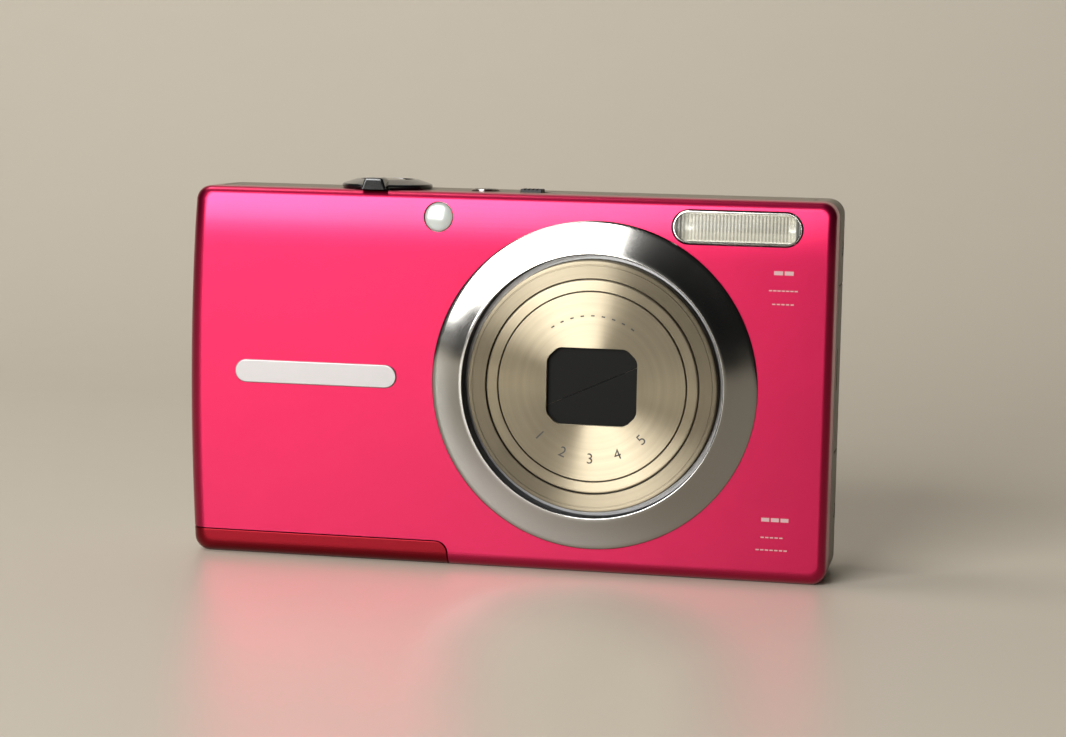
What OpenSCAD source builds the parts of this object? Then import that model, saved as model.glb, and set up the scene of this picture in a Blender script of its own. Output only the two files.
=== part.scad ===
// Compact digital camera: a slim metal-fronted body with a three-stage zoom lens.
// Millimetres. +X is to the right as the lens faces you, +Y goes to the back, +Z is up.
// The origin is at the middle of the base of the whole camera, lens ring and keys included.

/* [Body] */
// Width of the body
body_w = 94.7; // [94:0.1:125]
// Height of the body
body_h = 54.2; // [54:0.1:70]
// Depth of the body without the lens ring and the keys
body_d = 18; // [18:0.1:26]
// Radius of the body's corners seen from the front
corner_r = 2.2; // [1.4:0.1:4]
// How far the grip side bows outward at mid-height
side_bow = 0.7; // [0:0.1:1.5]
// Rounding between the front and the right side, and between the front and the top
edge_r = 1; // [0.9:0.1:2]
// Rounding between the front and the grip side
grip_edge_r = 2.6; // [1:0.1:4]
// Rounding between the front and the base
base_edge_r = 1.5; // [0.9:0.1:2.5]
// Rounding between the back and the two sides
back_side_r = 3.6; // [2:0.1:4.5]
// Rounding between the back and the top or base
back_edge_r = 2; // [1.4:0.1:3]
// Sheet thickness of the front cover
front_wall = 0.8; // [0.6:0.1:1]
// Wall thickness of the rear cover
back_wall = 1.2; // [1:0.1:1.6]
// How far the front cover wraps back over the sides, top and base
front_wrap = 5.6; // [5:0.1:7]

/* [Lens] */
// Distance from the right side to the lens axis
lens_from_right = 33.85; // [33.5:0.05:38]
// Height of the lens axis above the base
lens_z = 27.2; // [26:0.1:36]
// Outer radius of the lens ring where it meets the front cover
ring_r = 23.6; // [23:0.1:26]
// How far the lens ring stands out of the front cover
ring_proud = 1.5; // [1:0.1:2.5]
// Radius of the lens ring's crest
ring_crest_r = 19.6; // [19.4:0.1:20.5]
// Bore of the lens ring
ring_bore_r = 18.8; // [18.6:0.1:19]
// Outside radius of the outer barrel
barrel_r = 18.05; // [17.9:0.05:18.1]
// Outside radius of the middle barrel
middle_r = 15.3; // [15:0.05:15.35]
// Outside radius of the inner barrel
inner_r = 13.55; // [13.3:0.05:13.6]
// Wall of each barrel
barrel_wall = 0.85; // [0.7:0.05:0.85]
// Width of the window in the front plate
window_w = 13.1; // [10:0.1:13.5]
// Height of the window in the front plate
window_h = 11.1; // [9:0.1:11.5]
// Angle of the seam between the two barrier blades
blade_seam = 24.5; // [0:0.5:45]
// Radius of the barrier blades
blade_r = 8.1; // [7.5:0.1:8.1]
// Distance from the lens axis to each blade's pivot
blade_pivot = 10.8; // [10.4:0.1:10.8]

/* [Zoom drive] */
// Gear module of the drive
gear_module = 0.5; // [0.5:0.1:0.5]
// Teeth that the cam ring would have all the way round
cam_teeth = 80; // [80:1:80]
// Teeth on the pinion
pinion_teeth = 16; // [14:1:18]
// Angle of the pinion around the lens axis
pinion_angle = -50; // [-58:1:-45]
// Turn of the cam ring over the whole zoom
cam_turn = 60; // [40:1:70]
// Radius of the zoom motor
motor_r = 3; // [2.4:0.1:3.2]

/* [Battery and card] */
// Width of the battery
battery_w = 34.6; // [30:0.1:34.8]
// Height of the battery
battery_h = 40.2; // [34:0.1:41]
// Thickness of the battery
battery_t = 5.2; // [4.4:0.1:5.2]
// Width of the memory card
card_w = 24; // [20:0.1:24]
// Height of the memory card
card_h = 32; // [24:0.1:32]
// Thickness of the memory card
card_t = 2.1; // [1.4:0.1:2.1]
// Width of the battery door along the base
door_w = 39.85; // [39:0.05:41]
// Height of the door's strip on the front
door_h = 3.5; // [3:0.1:4.5]
// Thickness of the door's floor
door_floor = 1.3; // [1.1:0.1:1.5]
// Radius of the door's hinge pin
pin_r = 0.5; // [0.4:0.05:0.6]
// Travel of the door before it swings
door_slide = 1.8; // [1:0.1:2]

/* [Top controls] */
// Distance from the grip side to the shutter button
shutter_from_left = 28.05; // [26:0.05:30]
// Outside radius of the zoom lever
lever_r = 6.65; // [6:0.05:6.7]
// Height of the zoom lever above the top
lever_proud = 1.4; // [1:0.1:2]
// Radius of the shutter button
shutter_r = 3.7; // [3:0.1:3.8]
// Travel of the shutter button
shutter_travel = 0.8; // [0.4:0.1:0.9]
// Travel of the mode switch
mode_travel = 4; // [2:0.1:4]
// Thickness of the top plate
top_wall = 1.2; // [1:0.1:1.5]

/* [Back] */
// How far the keys stand out of the back
key_proud = 0.3; // [0.2:0.05:0.4]
// Travel of each key
key_travel = 0.3; // [0.2:0.05:0.35]
// Width of the display window
window_lcd_w = 58; // [50:0.5:58]
// Height of the display window
window_lcd_h = 45; // [36:0.5:45]
// Outside radius of the direction ring
nav_r = 9.5; // [8:0.1:9.5]
// Radius of the set button
set_r = 4; // [3:0.1:4]
// Radius of the movie button
movie_r = 3; // [2:0.1:3.2]
// Radius of the play, menu and help buttons
small_key_r = 2.8; // [2:0.1:3]

/* [Sockets and fixings] */
// Bore radius of the tripod thread, a quarter-inch one
tripod_r = 2.55; // [2.55:0.05:3.2]
// Depth of the tripod thread
tripod_depth = 4.4; // [4:0.1:4.6]
// Height of the cover over the sockets
terminal_h = 24; // [20:0.5:26]
// Radius of the strap bar
strap_bar_r = 0.7; // [0.6:0.05:0.9]

/* [Fits] */
// Visible gap between two covers
seam_gap = 0.1; // [0.05:0.01:0.2]
// Radial clearance of a turning or sliding shaft
run_fit = 0.05; // [0.02:0.01:0.1]
// Clearance around a piece that moves in an opening
slide_fit = 0.15; // [0.1:0.01:0.25]
// Radial clearance between one barrel and the next
barrel_fit = 0.1; // [0.05:0.01:0.1]

/* [Hidden] */
$fn = 48;

// Colours
pink = [0.86, 0.16, 0.38];
red = [0.67, 0.09, 0.15];
grey = [0.44, 0.39, 0.33];
dark = [0.12, 0.12, 0.12];
chrome = [0.75, 0.75, 0.76];
nickel = [0.73, 0.69, 0.61];
steel = [0.62, 0.63, 0.65];
black = [0.06, 0.06, 0.07];
glass = [0.65, 0.75, 0.8, 0.5];
board_green = [0.1, 0.35, 0.2];

// Places of the body's faces
eps = 0.01;
cut = 3;
y_front = ring_proud - (ring_proud + body_d + key_proud) / 2;
y_back = y_front + body_d;
x_left = -body_w / 2;
x_right = body_w / 2;
y_seam = y_front + front_wrap;
inside_front = y_front + front_wall;
inside_back = y_back - back_wall;
left_inside = x_left + side_bow + back_wall;
right_inside = x_right - back_wall;

// Lens stack, from the front face back
lens_x = x_right - lens_from_right;
lens_face_y = y_front - 1.1;
plate_t = 0.7;
blade_t = 0.4;
blade_play = 0.1;
blade_y = lens_face_y + plate_t + blade_play;
blade_floor_y = blade_y + blade_t + blade_play;
floor_t = 0.6;
face_t = 0.8;
outer_end_y = lens_face_y + 12.4;
middle_end_y = outer_end_y - 0.1;
web_t = 0.6;
inner_end_y = middle_end_y - web_t - 0.1;
tube_front_y = y_front + 1;
step_y = lens_face_y + 10.1;
step_t = 0.8;
pocket_y = step_y + step_t;
cam_rim_t = 1.6;
cam_rim_y = pocket_y + 0.2;
base_wall_y = pocket_y + 3;
base_wall_t = 0.8;
cam_in_r = barrel_r + barrel_fit;
cam_out_r = cam_in_r + 0.8;
tube_in_r = cam_out_r + barrel_fit;
tube_out_r = tube_in_r + 0.85;
pocket_r = gear_module * cam_teeth / 2 + 1.3;
base_r = pocket_r + 0.8;
ring_seat_r = ring_r - 1.7;
sensor_hole_r = 6.9;
focus_r = 5.3;
focus_t = 0.8;
focus_y = middle_end_y + 0.15;
sensor_w = 10;
sensor_h = 9;
sensor_t = 0.7;
sensor_y = base_wall_y + 0.5;
sensor_back_y = sensor_y + sensor_t;
sensor_plate_t = 0.4;
cell_r = 6.3;
zoom_cell_r = 4.9;

// Zoom drive
cam_pitch_r = gear_module * cam_teeth / 2;
pinion_pitch_r = gear_module * pinion_teeth / 2;
drive_x = lens_x + (cam_pitch_r + pinion_pitch_r) * cos(pinion_angle);
drive_z = lens_z + (cam_pitch_r + pinion_pitch_r) * sin(pinion_angle);
backlash = 0.15;
tip_height = 0.85;
root_depth = 1.1;
shaft_r = 0.4;

// Battery bay, card and boards
battery_x = x_left + 2.3;
battery_y = inside_front + 0.3;
battery_z = door_h;
bay_wall = 0.7;
bay_gap = 0.1;
bay_x1 = battery_x + battery_w + bay_gap;
bay_y1 = battery_y + battery_t + bay_gap;
bay_z1 = battery_z + battery_h + bay_gap;
card_x = bay_x1 - card_w - 1.4;
card_y = bay_y1 + bay_wall + 0.4;
card_z = door_h + 0.5;
slot_wall = 0.3;
board_t = 0.8;
board_y = card_y + card_t + slot_wall + 0.4;
chassis_t = 0.4;
chassis_y = inside_back - 2.3;

// Battery door and its hinge
door_x1 = x_left + door_w;
door_wall = 0.9;
door_corner_r = 1.75;
hinge_y = y_back - 3.2;
hinge_z = door_floor;
knuckle_r = 1.2;
lug_w = 4;
lug_places = [0.3, 0.68];
rail_z = hinge_z + knuckle_r + 0.25;

// Top controls
shutter_x = x_left + shutter_from_left;
top_front_y = y_seam + seam_gap;
top_back_y = y_back - 5;
control_setback = 4.6;
control_y = top_back_y - control_setback;
switch_y = top_front_y + 2.7;
top_side = 3.85;
lever_bore_r = shutter_r + 0.2;
hub_r = lever_bore_r + 0.7;
pocket_floor = 0.8;
pocket_z = body_h - 2;
stem_r = 1.5;
power_x = shutter_x + 14.8;
mode_x = shutter_x + 21.8;
power_r = 2;
mode_knob = [3.2, 2.4];
speaker_x = shutter_x + 35.5;
mic_x = shutter_x + 43;

// Back
lcd_x0 = x_right - 3.85 - window_lcd_w;
lcd_z0 = (body_h - window_lcd_h) / 2 + 0.4;
window_lcd_t = 0.7;
lcd_frame = 1.6;
nav_x = x_left + 15.85;
nav_z = 25;
key_flange = 0.5;
mat_y = inside_back - 1.8;
mat_t = 0.6;
key_back_y = mat_y + mat_t + key_travel + 0.1;
movie_pos = [x_left + 24.35, body_h - 8.7];
play_pos = [x_left + 7.75, body_h - 15.7];
menu_pos = [x_left + 24.35, 11];
help_pos = [x_left + 7.75, 11];
carrier_r = nav_r - 3.3;
carrier_t = 0.25;
carrier_y = key_back_y;

// Side, base and front fittings
tripod_x = lens_x + 8.5;
tripod_y = inside_back - 6.2;
bush_r = 4.2;
screw_y = chassis_y - 1.7;
socket_z = 25;
socket_w = 9;
socket_d = 3.4;
socket_y = chassis_y - 0.6 - socket_d;
terminal_z = 18;
terminal_front_y = y_seam + 3;
terminal_hinge_y = y_back - back_side_r;
terminal_r = back_wall / 2;
terminal_x = x_right - terminal_r;
tray_x = x_right - back_wall - 1.6;
strap_z0 = body_h - 17.7;
strap_h = 9;
strap_y = y_back - 5.8;
lamp_x = x_left + 37.8;
lamp_z = body_h - 3.55;
lamp_r = 2.05;
flash_x = x_right - 13.85;
flash_z = body_h - 3.9;
flash_w = 18.3;
flash_h = 4.7;
cap_x = x_right - 7.2;
cap_r = 4;

// ---- helpers ----

// A box between two corners
module block(a, b) {
    translate(a) cube(b - a);
}

// A round bar along Y from y0 to y1
module rod_y(x, z, r, y0, y1) {
    translate([x, y1, z]) rotate([90, 0, 0]) cylinder(r = r, h = y1 - y0);
}

// A round bar along X from x0 to x1
module rod_x(y, z, r, x0, x1) {
    translate([x0, y, z]) rotate([0, 90, 0]) cylinder(r = r, h = x1 - x0);
}

// A round bar along Z from z0 to z1
module rod_z(x, y, r, z0, z1) {
    translate([x, y, z0]) cylinder(r = r, h = z1 - z0);
}

// A tube along Y
module tube_y(x, z, r_out, r_in, y0, y1) {
    difference() {
        rod_y(x, z, r_out, y0, y1);
        rod_y(x, z, r_in, y0 - cut, y1 + cut);
    }
}

// A flat outline in X and Z, given thickness from y0 to y1
module plate_y(y0, y1) {
    translate([0, y1, 0]) rotate([90, 0, 0]) linear_extrude(height = y1 - y0) children();
}

// A shape turned about a Y axis through x, z: the profile's points are radius and y
module turn_y(x, z, profile) {
    translate([x, 0, z]) rotate([90, 0, 0])
        rotate_extrude() polygon([for (p = profile) [p[0], -p[1]]]);
}

// Points along an arc
function arc_points(cx, cy, r, a0, a1, n) =
    [for (i = [0:n]) let (a = a0 + (a1 - a0) * i / n) [cx + r * cos(a), cy + r * sin(a)]];

// A rectangle with round corners, from its lower left corner
module soft_rect(x, z, w, h, r) {
    polygon(concat(
        arc_points(x + r, z + r, r, 180, 270, 6),
        arc_points(x + w - r, z + r, r, 270, 360, 6),
        arc_points(x + w - r, z + h - r, r, 0, 90, 6),
        arc_points(x + r, z + h - r, r, 90, 180, 6)
    ));
}

// A closed skin through rings of points, ordered from front to back
module loft(rings) {
    n = len(rings[0]);
    last = len(rings) - 1;
    points = [for (ring = rings) for (p = ring) p];
    front = [[for (j = [n - 1:-1:0]) j]];
    back = [[for (j = [0:n - 1]) last * n + j]];
    sides = [
        for (i = [0:last - 1]) for (j = [0:n - 1])
            let (a = i * n + j, b = i * n + (j + 1) % n)
            for (face = [[a, b, b + n], [a, b + n, a + n]]) face
    ];
    polyhedron(points = points, faces = concat(front, sides, back));
}

// How far a rounded edge of radius r stands in at depth d behind the flat face
function round_in(r, d) = d >= r ? 0 : r - sqrt(r * r - (r - d) * (r - d));

// The same for a skin that lies g inside the outer one
function inset(r, d, g) = g + round_in(max(r - g, 0.2), max(d - g, 0));

// One section of the body: its outline, set in by left, right, base and top
function section(y, l, r, b, t) =
    let (
        k = max(corner_r - min(l, t), 0.5),
        xl = x_left + side_bow + l,
        xr = x_right - r,
        zt = body_h - t,
        mid = (zt + b) / 2,
        half = (zt - b) / 2 - k
    )
    [for (p = concat(
        arc_points(xl + k, b + k, k, 180, 270, 5),
        arc_points(xr - k, b + k, k, 270, 360, 5),
        arc_points(xr - k, zt - k, k, 0, 90, 5),
        arc_points(xl + k, zt - k, k, 90, 180, 5),
        [for (i = [1:7]) let (u = 1 - i / 4) [xl - side_bow * (1 - u * u), mid + u * half]]
    )) [p[0], y, p[1]]];

// The whole body's outer form, or the form that lies g inside it
module body_form(g = 0) {
    front_depths = [for (a = [0:15:90]) g + (max(grip_edge_r - g, 0.3)) * (1 - cos(a))];
    back_depths = [for (a = [90:-15:0]) g + (max(back_side_r - g, 0.3)) * (1 - cos(a))];
    ys = concat([for (d = front_depths) y_front + d], [for (d = back_depths) y_back - d]);
    loft([for (y = ys)
        let (df = y - y_front, db = y_back - y)
        section(
            y,
            max(inset(grip_edge_r, df, g), inset(back_side_r, db, g)),
            max(inset(edge_r, df, g), inset(back_side_r, db, g)),
            max(inset(base_edge_r, df, g), inset(back_edge_r, db, g)),
            max(inset(edge_r, df, g), inset(back_edge_r, db, g))
        )
    ]);
}

// Everything between two planes across Y
module between_y(y0, y1) {
    block([x_left - cut, y0, -cut], [x_right + cut, y1, body_h + cut]);
}

// The battery door's outline on the front, grown by g on its top and right
module door_outline(g = 0) {
    r = door_corner_r + g;
    polygon(concat(
        [[x_left - cut, -cut], [door_x1 + g, -cut]],
        arc_points(door_x1 + g - r, door_h + g - r, r, 0, 90, 6),
        [[x_left - cut, door_h + g]]
    ));
}

// ---- covers ----

module front_cover() {
    color(pink) difference() {
        intersection() {
            body_form();
            between_y(y_front - cut, y_seam);
        }
        body_form(front_wall);
        rod_y(lens_x, lens_z, ring_seat_r, y_front - cut, inside_front + cut);
        rod_y(lamp_x, lamp_z, lamp_r + slide_fit / 2, y_front - cut, inside_front + cut);
        plate_y(y_front - cut, inside_front + cut)
            flash_outline(slide_fit / 2);
        plate_y(y_front - cut, y_seam + cut) door_outline(seam_gap);
        // Way through for the zoom lever's hub
        rod_z(shutter_x, control_y, hub_r + slide_fit, body_h - front_wall - cut, body_h + cut);
        lever_scoop();
        bush_hole();
    }
}

// The hole in the base for the tripod bush
module bush_hole() {
    rod_z(tripod_x, tripod_y, bush_r, -cut, back_wall + cut);
}

// The hollow in the front cover's top edge under the lever's tab
module lever_scoop() {
    scoop_r = 11.8;
    scoop_depth = 1;
    slope = 26.6;
    translate([shutter_x, y_front, body_h - scoop_depth + scoop_r / cos(slope)])
        rotate([slope - 90, 0, 0]) cylinder(r = scoop_r, h = 8, center = true);
}

module rear_cover() {
    color(grey) difference() {
        union() {
            difference() {
                intersection() {
                    body_form();
                    between_y(y_seam + seam_gap, y_back + cut);
                }
                body_form(back_wall);
            }
            strap_pocket_walls();
            terminal_tray();
        }
        // Seat of the top plate
        block([x_left + top_side - seam_gap, y_seam - cut, body_h - top_wall - 1],
              [x_right - top_side + seam_gap, top_back_y + seam_gap, body_h + cut]);
        // Way out for the battery door
        block([x_left - cut, y_seam - cut, -cut],
              [door_x1 + seam_gap, hinge_y + knuckle_r + 0.3, door_h + seam_gap]);
        display_opening();
        key_holes();
        // Strap recess and bar
        block([x_left - cut, strap_y - 1.8, strap_z0],
              [x_left + 3, strap_y + 1.8, strap_z0 + strap_h]);
        strap_bar_solid(0);
        terminal_opening();
        bush_hole();
        screw_set(run_fit, true);
    }
}

// Walls round the recess that a wrist strap is looped through
module strap_pocket_walls() {
    intersection() {
        body_form(back_wall / 2);
        block([x_left, strap_y - 2.6, strap_z0 - 1.5],
              [x_left + 4, strap_y + 2.4, strap_z0 + strap_h + 1.5]);
    }
}

// The tray behind the terminal cover, with the socket's window
module terminal_tray() {
    difference() {
        intersection() {
            body_form(back_wall / 2);
            block([tray_x, terminal_front_y - 0.9, terminal_z - 1.2],
                  [x_right, terminal_hinge_y + 1.5, terminal_z + terminal_h + 1.2]);
        }
        socket_hole(slide_fit / 2);
    }
}

module terminal_opening() {
    block([tray_x + 0.7, terminal_front_y - slide_fit, terminal_z - slide_fit],
          [x_right + cut, terminal_hinge_y, terminal_z + terminal_h + slide_fit]);
    translate([terminal_x, terminal_hinge_y, terminal_z - slide_fit])
        cylinder(r = terminal_r + slide_fit, h = terminal_h + 2 * slide_fit);
    block([terminal_x, terminal_hinge_y - 1, terminal_z - slide_fit],
          [x_right + cut, terminal_hinge_y + terminal_r + slide_fit,
           terminal_z + terminal_h + slide_fit]);
    rod_z(terminal_x, terminal_hinge_y, 0.3 + run_fit, terminal_z - 0.9,
          terminal_z + terminal_h + 0.9);
}

module display_opening() {
    plate_y(y_back - window_lcd_t - 0.05, y_back + cut)
        soft_rect(lcd_x0 - slide_fit / 2, lcd_z0 - slide_fit / 2,
                  window_lcd_w + slide_fit, window_lcd_h + slide_fit, 1.2);
    plate_y(inside_back - cut, y_back)
        soft_rect(lcd_x0 + lcd_frame, lcd_z0 + lcd_frame,
                  window_lcd_w - 2 * lcd_frame, window_lcd_h - 2 * lcd_frame, 0.6);
}

module key_holes() {
    y0 = inside_back - cut;
    y1 = y_back + cut;
    rod_y(nav_x, nav_z, nav_r + 0.3, y0, y1);
    rod_y(movie_pos[0], movie_pos[1], movie_r + slide_fit, y0, y1);
    for (p = [play_pos, menu_pos, help_pos])
        rod_y(p[0], p[1], small_key_r + slide_fit, y0, y1);
}

module top_plate() {
    color(grey) difference() {
        union() {
            block([x_left + top_side, top_front_y, body_h - top_wall],
                  [x_right - top_side, top_back_y, body_h]);
            // Cup that carries the lever's hub and guides the button's stem
            rod_z(shutter_x, control_y, hub_r + 1, pocket_z - pocket_floor, body_h - top_wall);
        }
        rod_z(shutter_x, control_y, hub_r + slide_fit, pocket_z, body_h + cut);
        rod_z(shutter_x, control_y, stem_r + run_fit, 0, body_h);
        rod_z(power_x, switch_y, power_r + slide_fit, 0, body_h + cut);
        mode_slot();
        for (a = [0:60:300])
            rod_z(speaker_x + 1.6 * cos(a), switch_y + 1 + 1.6 * sin(a), 0.35, 0, body_h + cut);
        rod_z(speaker_x, switch_y + 1, 0.35, 0, body_h + cut);
        rod_z(mic_x, switch_y + 1, 0.4, 0, body_h + cut);
    }
}

module mode_slot() {
    block([mode_x - mode_knob[0] / 2 - slide_fit, switch_y - mode_knob[1] / 2 - slide_fit, 0],
          [mode_x + mode_knob[0] / 2 + mode_travel + slide_fit,
           switch_y + mode_knob[1] / 2 + slide_fit, body_h + cut]);
}

// ---- front fittings ----

module lens_ring() {
    lip = 0.35;
    crest_y = y_front - ring_proud;
    color(chrome) turn_y(lens_x, lens_z, concat(
        [[ring_bore_r, inside_front + 0.1], [ring_bore_r, crest_y + lip]],
        arc_points(ring_bore_r + lip, crest_y + lip, lip, 180, 270, 4),
        arc_points(ring_crest_r, crest_y + 0.25, 0.25, 270, 340, 4),
        [[ring_r - 0.3, y_front - 0.3], [ring_r, y_front], [ring_seat_r, y_front],
         [ring_seat_r, inside_front + 0.1]]
    ));
}

module nameplate() {
    color(chrome) plate_y(y_front - 0.25, y_front)
        soft_rect(x_left + 7.55, lens_z - 1.6, 24.4, 3.4, 1.69);
}

module af_lamp_window() {
    color([0.85, 0.84, 0.8]) {
        rod_y(lamp_x, lamp_z, lamp_r, y_front - 0.1, inside_front);
        rod_y(lamp_x, lamp_z, lamp_r + 0.3, inside_front, inside_front + 0.6);
    }
}

// The flash window's outline, grown by g: a bar with fully round ends
module flash_outline(g = 0) {
    r = flash_h / 2 + g;
    half = flash_w / 2 - flash_h / 2;
    polygon(concat(
        arc_points(flash_x + half, flash_z, r, -90, 90, 12),
        arc_points(flash_x - half, flash_z, r, 90, 270, 12)
    ));
}

module flash_window() {
    color(glass) plate_y(y_front - 0.1, inside_front + 0.2) flash_outline();
}

module flash_reflector() {
    y0 = inside_front + 0.25;
    y1 = y0 + 4;
    color(chrome) difference() {
        block([flash_x - 9.2, y0, flash_z - 2], [flash_x + 9.2, y1, flash_z + 2]);
        translate([flash_x, y0, flash_z]) rotate([0, 90, 0])
            cylinder(r = 1.7, h = 16.4, center = true);
        block([flash_x - 8.2, y0 - cut, flash_z - 1.7], [flash_x + 8.2, y0, flash_z + 1.7]);
        rod_x(y0 + 2.2, flash_z, 0.8, flash_x - 10, flash_x + 10);
        block([flash_x - 8.2, y0, flash_z - 0.8], [flash_x + 8.2, y0 + 2.2, flash_z + 0.8]);
    }
}

module flash_tube() {
    color(glass) rod_x(inside_front + 2.45, flash_z, 0.75, flash_x - 10, flash_x + 10);
}

module flash_capacitor() {
    color(black) rod_z(cap_x, inside_front + 0.3 + cap_r, cap_r, 12, 40);
    color(steel) for (dx = [-1.2, 1.2])
        rod_z(cap_x + dx, inside_front + 0.3 + cap_r, 0.3, 40, 42);
}

module flash_board() {
    y0 = inside_front + 2 * cap_r + 0.5;
    color(board_green) block([cap_x - 4, y0, 6], [cap_x + 3.4, y0 + 0.6, body_h - 6.5]);
    color(dark) block([cap_x - 3, y0 - 2.6, 43], [cap_x + 2.6, y0, 47]);
}

// ---- battery, card and boards ----

module battery() {
    color([0.3, 0.31, 0.33]) difference() {
        block([battery_x, battery_y, battery_z],
              [battery_x + battery_w, battery_y + battery_t, battery_z + battery_h]);
        // Contact wells in the end
        for (i = [0:2])
            block([battery_x + 4 + i * 3.2, battery_y + 1.2, battery_z + battery_h - 0.6],
                  [battery_x + 6 + i * 3.2, battery_y + 3.6, battery_z + battery_h + cut]);
    }
}

module battery_box() {
    x1 = bay_x1 + bay_wall;
    y1 = bay_y1 + bay_wall;
    z1 = bay_z1 + bay_wall;
    color(dark) difference() {
        block([battery_x, battery_y, battery_z + 0.05], [x1, y1, z1]);
        block([battery_x - cut, battery_y - cut, battery_z - cut], [bay_x1, bay_y1, bay_z1]);
        contact_block(0.1);
    }
}

// The block that holds the three battery contacts, grown by g
module contact_block(g = 0) {
    block([battery_x + 3 - g, battery_y + 0.8 - g, bay_z1 - g],
          [battery_x + 13.6 + g, battery_y + 4 + g, bay_z1 + 2.4]);
}

module battery_contacts() {
    color(dark) contact_block();
    color([0.85, 0.68, 0.3]) for (i = [0:2])
        block([battery_x + 4.5 + i * 3.2, battery_y + 1.8, bay_z1 - 0.4],
              [battery_x + 5.5 + i * 3.2, battery_y + 3, bay_z1]);
}

module card_outline() {
    polygon([
        [card_x, card_z], [card_x + card_w, card_z], [card_x + card_w, card_z + card_h - 4],
        [card_x + card_w - 4, card_z + card_h], [card_x, card_z + card_h]
    ]);
}

module memory_card() {
    color([0.1, 0.18, 0.4]) plate_y(card_y, card_y + card_t) card_outline();
}

module card_slot() {
    color(steel) difference() {
        block([card_x - 0.5, card_y - slot_wall, card_z + 1.5],
              [card_x + card_w + 0.5, card_y + card_t + slot_wall, card_z + card_h + 1.5]);
        block([card_x - 0.1, card_y - 0.03, card_z - cut],
              [card_x + card_w + 0.1, card_y + card_t + 0.03, card_z + card_h + 0.6]);
    }
}

module main_board() {
    x0 = x_left + 5.35;
    x1 = lens_x - base_r - 0.6;
    y1 = board_y + board_t;
    color(board_green) block([x0, board_y, 6], [x1, y1, body_h - 4.2]);
    color(dark) {
        block([x0 + 4, y1, 26], [x0 + 16, y1 + 1.1, 38]);
        block([x0 + 19, y1, 30], [x0 + 27, y1 + 0.9, 40]);
        block([x0 + 6, y1, 12], [x0 + 12, y1 + 0.8, 18]);
        block([x0 + 18, y1, 10], [x0 + 28, y1 + 1, 13]);
    }
    color(steel) for (i = [0:5])
        block([x0 + 15 + i * 2.2, y1, 21], [x0 + 16.2 + i * 2.2, y1 + 0.6, 22]);
}

module chassis_plate() {
    y1 = chassis_y + chassis_t;
    color(steel) {
        difference() {
            block([x_left + 5.2, chassis_y, 4.2], [x_right - 3.2, y1, body_h - 3.6]);
            for (x = [x_left + 12, x_left + 26]) rod_y(x, 40, 3, chassis_y - cut, y1 + cut);
            rod_y(lens_x, lens_z, 4, chassis_y - cut, y1 + cut);
            block([tripod_x - 5.5, chassis_y - cut, 0],
                  [tripod_x + 5.5, y1 + cut, tripod_depth + 1.6]);
        }
        difference() {
            for (p = side_screws()) screw_boss(p);
            screw_set(0, false);
        }
    }
}

// Screws in the sides: side of the body (-1 left, 1 right) and height
function side_screws() = [[1, 9], [1, body_h - 7], [-1, 20]];

module screw_boss(p) {
    face = p[0] > 0 ? right_inside : left_inside;
    low = p[0] > 0 ? face - 3.2 : face + 0.1;
    high = p[0] > 0 ? face - 0.1 : face + 3.2;
    block([low, screw_y - 1.5, p[1] - 1.5], [high, chassis_y, p[1] + 1.5]);
}

// The screws, or the holes for them when bore is true
module screw_set(g, bore) {
    for (p = side_screws()) side_screw(p, g, bore);
}

module side_screw(p, g, bore) {
    // The grip side bows, so its screw is seated below the surface there
    sink = p[0] > 0 ? 0.1 : 0.3;
    turn = p[0] > 0 ? -90 : 90;
    translate([p[0] * (body_w / 2 - sink), screw_y, p[1]]) rotate([0, turn, 0]) {
        translate([0, 0, bore ? -cut : 0]) cylinder(r = 1.1 + g, h = bore ? 0.5 + cut : 0.5);
        cylinder(r = 0.7 + g, h = 3.6);
    }
}

module case_screws() {
    color(steel) difference() {
        screw_set(0, false);
        for (p = side_screws())
            translate([p[0] * body_w / 2, screw_y, p[1]]) {
                cube([1, 0.3, 1.4], center = true);
                cube([1, 1.4, 0.3], center = true);
            }
    }
}

// ---- battery door ----

function lug_x(i) = x_left + 3 + (door_w - 6) * lug_places[i];

module battery_door() {
    color(red) difference() {
        union() {
            difference() {
                intersection() {
                    body_form();
                    plate_y(y_front - cut, hinge_y) door_outline();
                }
                block([x_left + side_bow + door_wall, y_front + door_wall, door_floor],
                      [door_x1 + cut, hinge_y + cut, door_h + cut]);
            }
            rod_x(hinge_y, hinge_z, knuckle_r, x_left + 3, door_x1 - 1);
        }
        rod_x(hinge_y, hinge_z, pin_r + run_fit, x_left + 2.4, door_x1 - 0.4);
        for (i = [0:1])
            block([lug_x(i) - lug_w / 2 - 0.2, hinge_y - knuckle_r - 0.3, -cut],
                  [lug_x(i) + lug_w / 2 + 0.2, hinge_y + knuckle_r + 0.1, door_h]);
    }
}

module door_slider() {
    color(dark) difference() {
        union() {
            block([x_left + 6.35, hinge_y - 1, rail_z], [door_x1 - 3, hinge_y + 0.8, rail_z + 0.8]);
            for (i = [0:1]) {
                rod_x(hinge_y, hinge_z, knuckle_r, lug_x(i) - lug_w / 2, lug_x(i) + lug_w / 2);
                block([lug_x(i) - lug_w / 2, hinge_y - 0.8, hinge_z],
                      [lug_x(i) + lug_w / 2, hinge_y + 0.8, rail_z]);
            }
        }
        rod_x(hinge_y, hinge_z, pin_r, x_left, door_x1);
    }
}

module door_hinge_pin() {
    color(steel) rod_x(hinge_y, hinge_z, pin_r, x_left + 3.2, door_x1 - 1.2);
}

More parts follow.
